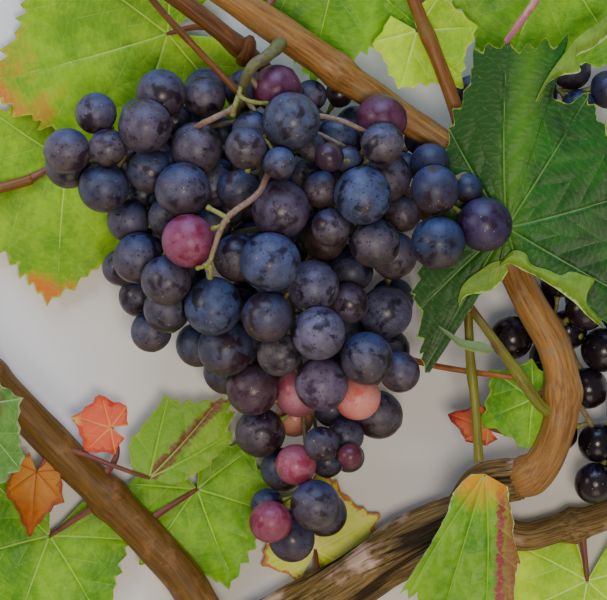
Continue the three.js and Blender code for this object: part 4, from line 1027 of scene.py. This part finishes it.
def leaf_edge(lobes, reach, angle, seed, tooth_arc):
    """Reach of the blade at each angle off its midrib: vein lengths joined in straight steps, a bay of
    sin(pi t) to the BAY_POWER between two veins, shallower where they are less than FULL_BAY degrees
    apart, and teeth: a saw wave of the arc, of uneven width and height."""
    table = np.array(lobes, float)
    i = np.clip(np.searchsorted(table[:, 0], angle) - 1, 0, len(table) - 2)
    t = np.clip((angle - table[i, 0]) / (table[i + 1, 0] - table[i, 0]), 0, 1)
    plain = table[i, 1] + (table[i + 1, 1] - table[i, 1]) * t
    width = np.minimum(1, (table[i + 1, 0] - table[i, 0]) / FULL_BAY)
    plain = plain * (1 - LEAF_BAY * width * np.sin(np.pi * t) ** BAY_POWER)
    draw = np.random.default_rng(seed)
    arc = np.concatenate([[0], np.cumsum(np.hypot(np.diff(plain), np.diff(np.radians(angle)) * plain[1:]))])
    count = max(LEAST_TEETH, int(arc[-1] * reach / tooth_arc))
    shift = draw.uniform(-TOOTH_SHIFT, TOOTH_SHIFT, count - 1)
    borders = np.sort((np.arange(1, count) + shift) / count) * arc[-1]
    borders = np.concatenate([[0], borders, [arc[-1]]])
    tooth = np.clip(np.searchsorted(borders, arc, side="right") - 1, 0, count - 1)
    through = (arc - borders[tooth]) / (borders[tooth + 1] - borders[tooth])
    rise = np.where(through < TOOTH_PEAK, through / TOOTH_PEAK, (1 - through) / (1 - TOOTH_PEAK))
    height = draw.uniform(*TOOTH_HEIGHTS, count)[tooth]
    level = TOOTH_RISE * TOOTH_ARC / tooth_arc
    return plain * (1 - level / 2 + level * height * rise ** TOOTH_POWER)


def vein_pattern(veins, x, y, reach):
    """Fields of the blade's plane. Each place belongs to the main vein that it is nearest to by angle; side
    veins leave it every VEIN_SPACING at 45 degrees, and a ladder of finest veins crosses between them, in
    rings about the foot. A main vein bows by VEIN_BEND of its length. Returns the distance from the main
    vein and from the nearest side vein, each in its own width, the count of side veins and of ladder steps
    passed, and the bulge between side veins, the absolute sine of their count."""
    best = np.full(x.shape, np.inf)
    along, across, number = np.zeros_like(x), np.zeros_like(x), np.zeros(x.shape, int)
    for k, a in enumerate(np.radians(veins)):
        u = x * math.cos(a) + y * math.sin(a)
        w = -x * math.sin(a) + y * math.cos(a) - VEIN_BEND * math.sin(5 * k + reach) * u * np.abs(u) / reach
        off = np.abs(np.arctan2(w, u))
        closer = off < best
        best = np.where(closer, off, best)
        along, across = np.where(closer, u, along), np.where(closer, w, across)
        number = np.where(closer, k, number)
    width = MAIN_VEIN * np.clip(VEIN_START - along / reach, THINNEST_VEIN, 1)
    main = np.abs(across) / width + np.where(along < 0, NO_VEIN, 0)
    passed = (along - np.abs(across) * SIDE_SLANT) / VEIN_SPACING + SIDE_SHIFT * number
    passed = passed + np.where(across > 0, 0.5, 0)
    side = np.abs(passed - np.round(passed)) * VEIN_SPACING * SIDE_COSINE / SIDE_VEIN
    side = side + NO_VEIN * np.clip(1 - np.hypot(x, y) / CALM_FOOT, 0, 1)
    steps = np.hypot(x, y) / LADDER_STEP + LADDER_SHIFT * number
    bulge = np.abs(np.sin(np.pi * passed)) * np.clip(np.abs(across) / BULGE_ACROSS, 0, 1)
    return main, side, passed, steps, bulge * np.clip(along / BULGE_ALONG, 0, 1)


def turned_to(verts, leaf):
    """The blade's own plane turned by its roll, pitch and midrib in that order, and moved to its foot."""
    for axis, degrees in (("x", leaf["roll"]), ("y", leaf["pitch"]), ("z", leaf["midrib"])):
        c, s = math.cos(math.radians(degrees)), math.sin(math.radians(degrees))
        matrix = {"x": [[1, 0, 0], [0, c, -s], [0, s, c]], "y": [[c, 0, s], [0, 1, 0], [-s, 0, c]],
                  "z": [[c, -s, 0], [s, c, 0], [0, 0, 1]]}[axis]
        verts = verts @ np.array(matrix).T
    verts = verts + np.array(leaf["at"])
    verts[:, 2] = np.maximum(verts[:, 2], FLOOR_GAP)
    return verts


def rim_wall(loop, shift):
    """Two triangles for each step of a closed loop of vertices, to the same loop shift numbers later."""
    ahead = np.roll(loop, -1)
    return np.vstack([np.stack([loop, loop + shift, ahead + shift], -1),
                      np.stack([loop, ahead + shift, ahead], -1)])


def leaf_blade(leaf, seed):
    """Upper and lower face of the blade on rays and rings from its foot, joined at the rim. Height over
    the blade's plane is the rim's droop and waves, the puckering, and grooves along the veins."""
    reach, lobes = leaf["reach"], leaf["lobes"]
    ray_count = int(max(LEAST_RAYS, RAYS_PER_MM * reach))
    ring_count = int(max(LEAST_RINGS, RINGS_PER_MM * reach))
    angle = np.linspace(lobes[0][0], lobes[-1][0], ray_count)
    edge = leaf_edge(lobes, reach, angle, seed, leaf.get("tooth_arc", TOOTH_ARC))
    ring = np.linspace(0, 1, ring_count + 1)[1:] ** RING_POWER
    out = ring[None, :] * edge[:, None]
    turn = np.radians(angle)[:, None]
    x, y = out * reach * np.cos(turn), out * reach * np.sin(turn)
    veins = leaf.get("veins", [a for a, length in lobes if length > LEAST_VEIN])
    main, side, passed, steps, bulge = vein_pattern(veins, x, y, reach)
    soft = np.clip((1 - ring[None, :]) * RIM_SLOPE, RIM_LEAST, 1)
    draw = np.random.default_rng(seed + 50)
    slow = sum(np.sin(draw.uniform(*SLOW_RATES) * (x * math.cos(p) + y * math.sin(p)) * 2 + q)
               for p, q in draw.uniform(0, 6, (SLOW_WAVES, 2))) / SLOW_WAVES
    z = out ** 2 * (leaf["wave"] * np.sin(LEAF_WAVES * turn) - leaf["droop"]) * reach
    groove = np.exp(-((main * GROOVE_SLOPE) ** 2)) * np.clip(out * reach / GROOVE_START, 0, 1)
    relief = PUCKER * bulge * soft - VEIN_GROOVE * groove * soft + SLOW_HEIGHT * slow * out
    top = np.stack([x, y, z + relief + BLADE_THICKNESS / 2], -1).reshape(-1, 3)
    low = np.stack([x, y, z + relief - BLADE_THICKNESS / 2], -1).reshape(-1, 3)
    verts = np.vstack([[0, 0, BLADE_THICKNESS / 2], top, [0, 0, -BLADE_THICKNESS / 2], low])
    count = 1 + ray_count * ring_count
    upper = grid_triangles(ray_count, ring_count, first=1, wrap=False)[:, ::-1]
    ray = 1 + np.arange(ray_count - 1) * ring_count
    upper = np.vstack([upper, np.stack([np.zeros_like(ray), ray, ray + ring_count], -1)])
    lower = upper[:, ::-1] + count
    loop = np.concatenate([[0], np.arange(1, ring_count + 1),
                           ring_count * np.arange(2, ray_count + 1),
                           1 + (ray_count - 1) * ring_count + np.arange(ring_count - 2, -1, -1)])
    rim = rim_wall(loop, count)
    faces = np.vstack([upper, rim, lower])
    look = np.concatenate([np.zeros(len(upper) + len(rim)), np.ones(len(lower))])

    def both(values, foot=0.0):
        """A value at the foot and on every ray and ring, for the upper and then for the lower face."""
        return np.tile(np.concatenate([[foot], values.ravel()]), 2)

    plane = np.stack([both(x), both(y), np.zeros(2 * count)], -1) + 90.0 * seed
    line = math.radians(leaf.get("band", 0))
    band = -x * math.sin(line) + y * math.cos(line) - leaf.get("beside", 0)
    if "band" not in leaf:
        band = np.full(x.shape, -NO_BAND)
    return turned_to(verts, leaf), faces, {
        "plane": plane, "vein": np.stack([both(main), both(side, NO_VEIN), both(band)], -1),
        "ladder": np.stack([both(passed), both(steps), both(x / reach)], -1),
        "from_rim": both((edge[:, None] - out) * reach, reach), "from_foot": both(out * reach)}, look


# Blades: a satin cuticle over green that shades from cloud to cloud, pale along the veins and yellow at the
# rim. Each leaf's greens, and its autumn tints at tip, rim, foot and band, are colours of its own. Widths
# are in millimetres.
LEAF_LOOKS = {
    "deep": {"dark": "#083c02", "light": "#1c6602", "vein": "#74984a", "rim": "#a0c048", "band": "#528806",
             "beyond": "#1e4e0a", "low": "#1e3a02", "band_width": 1.5, "band_edge": 9, "rim_width": 0.5,
             "rough": 0.42},
    "fresh": {"dark": "#508e00", "light": "#88c000", "vein": "#b4d860", "rim": "#98c020",
              "rim_width": 0.5, "rough": 0.45},
    "yellow_green": {"dark": "#6ca200", "light": "#a0d000", "vein": "#c8e460", "rim": "#bcc828",
                     "tip": "#e0702c", "rim_width": 0.8, "rough": 0.5},
    "lime": {"dark": "#9cd000", "light": "#d4fc00", "vein": "#e8fc90", "rim": "#d8e040",
             "rim_width": 0.8, "rough": 0.5},
    "turning": {"dark": "#4c8a08", "light": "#86b818", "vein": "#9cc048", "rim": "#c0d48c",
                "foot": "#e89c10", "band": "#960c34", "beyond": "#96502c", "band_width": 1.3,
                "band_edge": 1.0, "rim_width": 0.6, "rough": 0.42},
    "striped": {"dark": "#649c10", "light": "#94c028", "vein": "#a8cc58", "rim": "#a8b040",
                "band": "#7a4030", "beyond": "#78ac1c", "band_width": 1.6,
                "band_edge": 1.3, "rim_width": 0.6, "rough": 0.45},
    "silver": {"dark": "#467c20", "light": "#74a040", "vein": "#a4c478", "rim": "#9cb070",
               "foot": "#7a3a34", "rim_width": 0.6, "rough": 0.5},
    "yellow": {"dark": "#dcec2c", "light": "#fcfc88", "vein": "#fcf8a0", "rim": "#d84828", "tip": "#e8c830",
               "rim_width": 1.5, "rough": 0.5},
    "orange": {"dark": "#d44414", "light": "#fc742c", "vein": "#f0b050", "rim": "#d83c20", "tip": "#e8c850",
               "foot": "#f46848", "rim_width": 1.5, "rough": 0.5},
    "rust": {"dark": "#8a3a08", "light": "#c87414", "vein": "#a85018", "rim": "#8c3a10", "tip": "#b8500c",
             "foot": "#d08830", "rim_width": 1.5, "rough": 0.55},
    "red": {"dark": "#b0202c", "light": "#e05034", "vein": "#e89858", "rim": "#8c1c20", "tip": "#c82c20",
            "foot": "#e87c40", "rim_width": 1.2, "rough": 0.5},
}
FOOT_ZONE = 13


def leaf_material(name, look, underside=False):
    """Colours laid one over another by the blade's own fields, from the light green to the veins. A layer is
    the name of its colour, its field, the field's two limits and how strong the layer is at each."""
    material, tree = new_material(name)
    outputs = {"plane": "Vector", "vein": "Vector", "ladder": "Vector", "from_rim": "Fac", "from_foot": "Fac"}
    plane, vein, ladder, from_rim, from_foot = (add(tree, "Attribute", attribute_name=key).outputs[output]
                                                for key, output in outputs.items())
    main, side, off_band = add(tree, "SeparateXYZ", {0: vein}).outputs
    passed, steps, ahead = add(tree, "SeparateXYZ", {0: ladder}).outputs
    patch = add(tree, "TexNoise", {0: plane, 2: 0.05, 3: 4, 4: 0.6})
    mottle = add(tree, "TexNoise", {0: plane, 2: 0.35, 3: 4, 4: 0.55})
    fine = add(tree, "TexNoise", {0: plane, 2: 2.2, 3: 3})
    tone = add(tree, "Math", {0: mottle, 1: 0.35, 2: patch}, operation="MULTIPLY_ADD")
    wobble = add(tree, "Math", {0: mottle, 1: 6.0, 2: -3.0}, operation="MULTIPLY_ADD")
    from_band = add(tree, "Math", {0: off_band, 1: wobble}, operation="ADD")
    near_band = add(tree, "Math", {0: from_band}, operation="ABSOLUTE")
    foot_edge = add(tree, "Math", {0: patch, 1: 14.0, 2: from_foot}, operation="MULTIPLY_ADD")
    tip_edge = add(tree, "Math", {0: ahead, 1: patch}, operation="ADD")
    rim = look["rim_width"]
    rim_edge = add(tree, "Math", {0: mottle, 1: -5 * rim, 2: from_rim}, operation="MULTIPLY_ADD")
    whole = add(tree, "Math", {0: passed}, operation="FLOOR")
    shifted = add(tree, "Math", {0: whole, 1: 0.37, 2: steps}, operation="MULTIPLY_ADD")
    bent = add(tree, "Math", {0: mottle, 1: 1.8, 2: shifted}, operation="MULTIPLY_ADD")
    rung = add(tree, "Math", {0: bent, 1: 0.5}, operation="PINGPONG")
    between = add(tree, "Math", {0: passed, 1: 0.5}, operation="PINGPONG")
    near_foot = add(tree, "MapRange", {0: from_foot, 1: CALM_FOOT, 2: 2 * CALM_FOOT, 3: 1, 4: 0})
    off_rung = add(tree, "Math", {0: rung, 1: near_foot}, operation="ADD")
    width, soft = look.get("band_width", 1), look.get("band_edge", 1)
    layers = [
        ("light", tone, 0.54, 0.82, 0, 1),
        ("beyond", from_band, width, width + soft, 0, 0.85),
        ("band", near_band, width - 0.3 * soft, width + 0.7 * soft, 0.92, 0),
        ("foot", foot_edge, FOOT_ZONE, FOOT_ZONE + 8, 0.9, 0),
        ("tip", tip_edge, 1.22, 1.42, 0, 0.9),
        ("low", ahead, -0.75, -0.4, 0.8, 0),
        ("rim", rim_edge, -2 * rim, -1.4 * rim, 0.8, 0),
        ("vein", off_rung, 0.03, 0.14, 0.13, 0),
        ("vein", side, 0.4, 1.3, 0.4, 0),
        ("vein", main, 0.6, 1.3, 0.8, 0),
    ]
    colour = linear(look["dark"])
    for key, source, start, end, before, after in layers:
        if key in look:
            mask = add(tree, "MapRange", {0: source, 1: start, 2: end, 3: before, 4: after})
            colour = add(tree, "Mix", {0: mask, 6: colour, 7: linear(look[key])}, data_type="RGBA")
    if underside:
        colour = add(tree, "Mix", {0: 0.45, 6: colour, 7: linear("#a4b884")}, data_type="RGBA")
    bulging = add(tree, "Math", {0: rung, 1: between}, operation="MULTIPLY")
    away = add(tree, "Math", {0: 1.0, 1: near_foot}, operation="SUBTRACT")
    cushion = add(tree, "Math", {0: bulging, 1: away}, operation="MULTIPLY")
    rough_skin = add(tree, "Math", {0: fine, 1: 0.05, 2: cushion}, operation="MULTIPLY_ADD")
    finish_skin(tree, colour, look["rough"] + (0.2 if underside else 0), rough_skin, 0.6, 0.5, specular=0.3)
    return material


petiole_skin = cane_material("leaf_stalk_skin", "#64302a", "#925a46", "#868038", "#50241f", 0.45)
blades = {key: [leaf_material(key + "_leaf_blade", look), leaf_material(key + "_leaf_underside", look, True)]
          for key, look in LEAF_LOOKS.items()}
PETIOLE_GIRTH = [1.4, 0.8]
PETIOLE_AROUND, PETIOLE_RING = 14, 1.0
PETIOLE_SEED, PETIOLE_SEED_STEP = 300, 2
SUNK_FROM_ABOVE = 0.4
LOWEST_FOOT = 1.2
for number, leaf in enumerate({**USUAL_LEAF, **own} for own in LEAVES):
    verts, faces, values, look = leaf_blade(leaf, number)
    from_above = leaf["petiole"][-1][2] > leaf["at"][2]
    sunk = SUNK_FROM_ABOVE if from_above else PETIOLE_GIRTH[1] + BLADE_THICKNESS
    foot = [leaf["at"][0], leaf["at"][1], max(leaf["at"][2] - sunk, LOWEST_FOOT)]
    tube, tube_faces, grain = carried_tube([*leaf["petiole"], foot], leaf.get("girth", PETIOLE_GIRTH),
                                           PETIOLE_AROUND, PETIOLE_RING,
                                           cane_relief(PETIOLE_SEED + PETIOLE_SEED_STEP * number, [0.0]))
    bare = {key: np.zeros((len(tube), *value.shape[1:])) for key, value in values.items()}
    bare["grain"] = grain
    values["grain"] = values["plane"]
    whole = joined([(verts, faces, values), (tube, tube_faces, bare)])
    face_look = np.concatenate([look, np.full(len(tube_faces), 2)])
    put_piece(leaf["name"] + "_blade", *whole, [*blades[leaf["look"]], petiole_skin], leaf["slot"],
              [leaf["name"]], face_look)


# The great leaf's rim is turned up in four places and shows its pale underside as a curled strip: round
# the cane, along the torn lobe and the bay beside it, and up the fold of the upper lobe.
TURNED_RIMS = [
    {"name": "leaf_big_turned_rim", "height": 49.4, "crown": 1.6,
     "inner": [[65.5, 12.5], [70, 16.5], [73.5, 15.5], [75.5, 12], [81, 10], [85.5, 8.3], [88.5, 9.5],
               [93, 8.3], [96.5, 6.6], [94.5, 3], [94, -0.5], [99, -7]],
     "outer": [[65.2, 11], [68.5, 12], [73, 9.7], [77, 8], [80.5, 5.8], [84, 3.6], [86.8, 1.5],
               [89.5, -0.5], [91.5, -2.4], [93.5, -4.6], [96, -6.8], [99.5, -9.5]]},
    {"name": "leaf_big_torn_rim", "height": 46.5, "crown": 0.8, "dull": True,
     "inner": [[44.5, -8.2], [48, -10.2], [52, -12.8], [56, -13.6], [60, -14.2], [63, -16.2]],
     "outer": [[45.5, -9.8], [48.5, -12.4], [52, -15.6], [56, -17], [60, -17.8], [63.4, -17.4]]},
    {"name": "leaf_big_lit_rim", "height": 47.8, "crown": 0.6,
     "inner": [[51.3, 0], [52.4, 4], [55, 7.2], [58.6, 9.8], [62.6, 12.4], [66.6, 13.2]],
     "outer": [[51.6, -2.3], [53.6, 1], [56.6, 2], [59.6, 2.3], [64, 4], [68, 9.5]]},
    {"name": "leaf_big_upper_fold", "height": 50.2, "crown": 1.0,
     "inner": [[76.9, 66], [80.6, 73.4], [84.8, 79.6], [91.2, 87.5], [97.8, 92.4], [102, 96.5]],
     "outer": [[77.8, 65.8], [80.8, 71.6], [85.6, 74.4], [91.9, 75.9], [90.5, 80.5], [96, 83.5], [102, 88]]},
]
STRIP_ROWS, STRIP_COLUMNS = 90, 12
OUTER_DROP = 1.2
STRIP_WIDTH, SIDE_VEINS, RIM_SHIFT = 6, 3, 0.4
strip_look = {"dark": "#648c20", "light": "#86ac34", "rim": "#ccdc80", "vein": "#b0cc58", "rim_width": 0.5,
              "rough": 0.45}
strip_skin = leaf_material("turned_rim_underside", strip_look)


def rim_strip(strip):
    """A thin closed sheet between two smooth lines, arched between them by half a sine wave."""
    inner, outer = (smooth_line([[x, y, strip["height"] - lower] for x, y in strip[key]], STRIP_ROWS)[0]
                    for key, lower in (("inner", 0), ("outer", OUTER_DROP)))
    share = np.linspace(0, 1, STRIP_COLUMNS)[None, :, None]
    sheet = inner[:, None] * (1 - share) + outer[:, None] * share
    sheet[..., 2] += strip["crown"] * np.sin(np.pi * share[..., 0])
    verts = np.vstack([sheet.reshape(-1, 3), sheet.reshape(-1, 3) - [0, 0, BLADE_THICKNESS]])
    upper = grid_triangles(STRIP_ROWS, STRIP_COLUMNS, wrap=False)
    below = STRIP_ROWS * STRIP_COLUMNS
    edge = np.concatenate([np.arange(STRIP_COLUMNS), STRIP_COLUMNS * np.arange(2, STRIP_ROWS + 1) - 1,
                           below - 1 - np.arange(1, STRIP_COLUMNS),
                           STRIP_COLUMNS * np.arange(STRIP_ROWS - 2, 0, -1)])
    across = np.tile(np.broadcast_to(share[..., 0], (STRIP_ROWS, STRIP_COLUMNS)).ravel(), 2)
    blank = np.zeros(len(verts))
    return verts, np.vstack([upper[:, ::-1], rim_wall(edge, below), upper + below]), {
        "plane": np.column_stack([verts[:, :2], blank]),
        "vein": np.column_stack([blank + NO_VEIN, blank + NO_VEIN, blank - NO_BAND]),
        "ladder": np.column_stack([across * SIDE_VEINS, verts[:, 0] / LADDER_STEP, blank]),
        "from_rim": STRIP_WIDTH * np.minimum(1 - across, RIM_SHIFT + across),
        "from_foot": blank + 4 * FOOT_ZONE}


for strip in TURNED_RIMS:
    skins = [blades["deep"][1] if "dull" in strip else strip_skin]
    put_piece(strip["name"], *rim_strip(strip), skins, "leaf", [])


# The studio: a pale floor, a broad cool light from above the picture as an open sky gives, and a softer
# warm one beside the camera that makes the highlight just below the middle of each berry.
FLOOR_HALF = 4.0
AIM_HEIGHT = 0.03
WORLD_STRENGTH = 0.3
floor_mesh = bpy.data.meshes.new("floor")
floor_mesh.from_pydata([(-FLOOR_HALF, -FLOOR_HALF, 0), (FLOOR_HALF, -FLOOR_HALF, 0),
                        (FLOOR_HALF, FLOOR_HALF, 0), (-FLOOR_HALF, FLOOR_HALF, 0)], [], [(0, 1, 2, 3)])
floor = bpy.data.objects.new("floor", floor_mesh)
bpy.context.scene.collection.objects.link(floor)
paint, tree = new_material("pale_matte_floor")
shader = add(tree, "BsdfPrincipled", {"Base Color": linear("#fcfaf4"), "Roughness": 0.9})
add(tree, "OutputMaterial", {0: shader})
floor_mesh.materials.append(paint)


def area_light(name, spot, size, power, colour):
    """A square area light that points at the middle of the bunch."""
    data = bpy.data.lights.new(name, "AREA")
    data.size = size
    data.energy = power
    data.color = linear(colour)[:3]
    lamp = bpy.data.objects.new(name, data)
    bpy.context.scene.collection.objects.link(lamp)
    lamp.location = spot
    aim = camera.location.copy()
    aim.z = AIM_HEIGHT
    lamp.rotation_euler = (aim - lamp.location).to_track_quat("-Z", "Y").to_euler()


area_light("sky_light", (-0.1, 1.5, 0.9), 1.3, 26, "#b4ccff")
area_light("warm_light", (0.16, -0.34, 1.75), 0.42, 12, "#fff0dc")
area_light("side_light", (-1.3, 0.4, 1.1), 0.5, 6, "#fff6ea")
area_light("low_light", (0.2, -1.4, 0.9), 0.8, 5, "#ffe2cc")
world = bpy.data.worlds.new("studio")
world.use_nodes = True
background = world.node_tree.nodes["Background"]
background.inputs["Color"].default_value = linear("#dfe8f4")
background.inputs["Strength"].default_value = WORLD_STRENGTH
bpy.context.scene.world = world
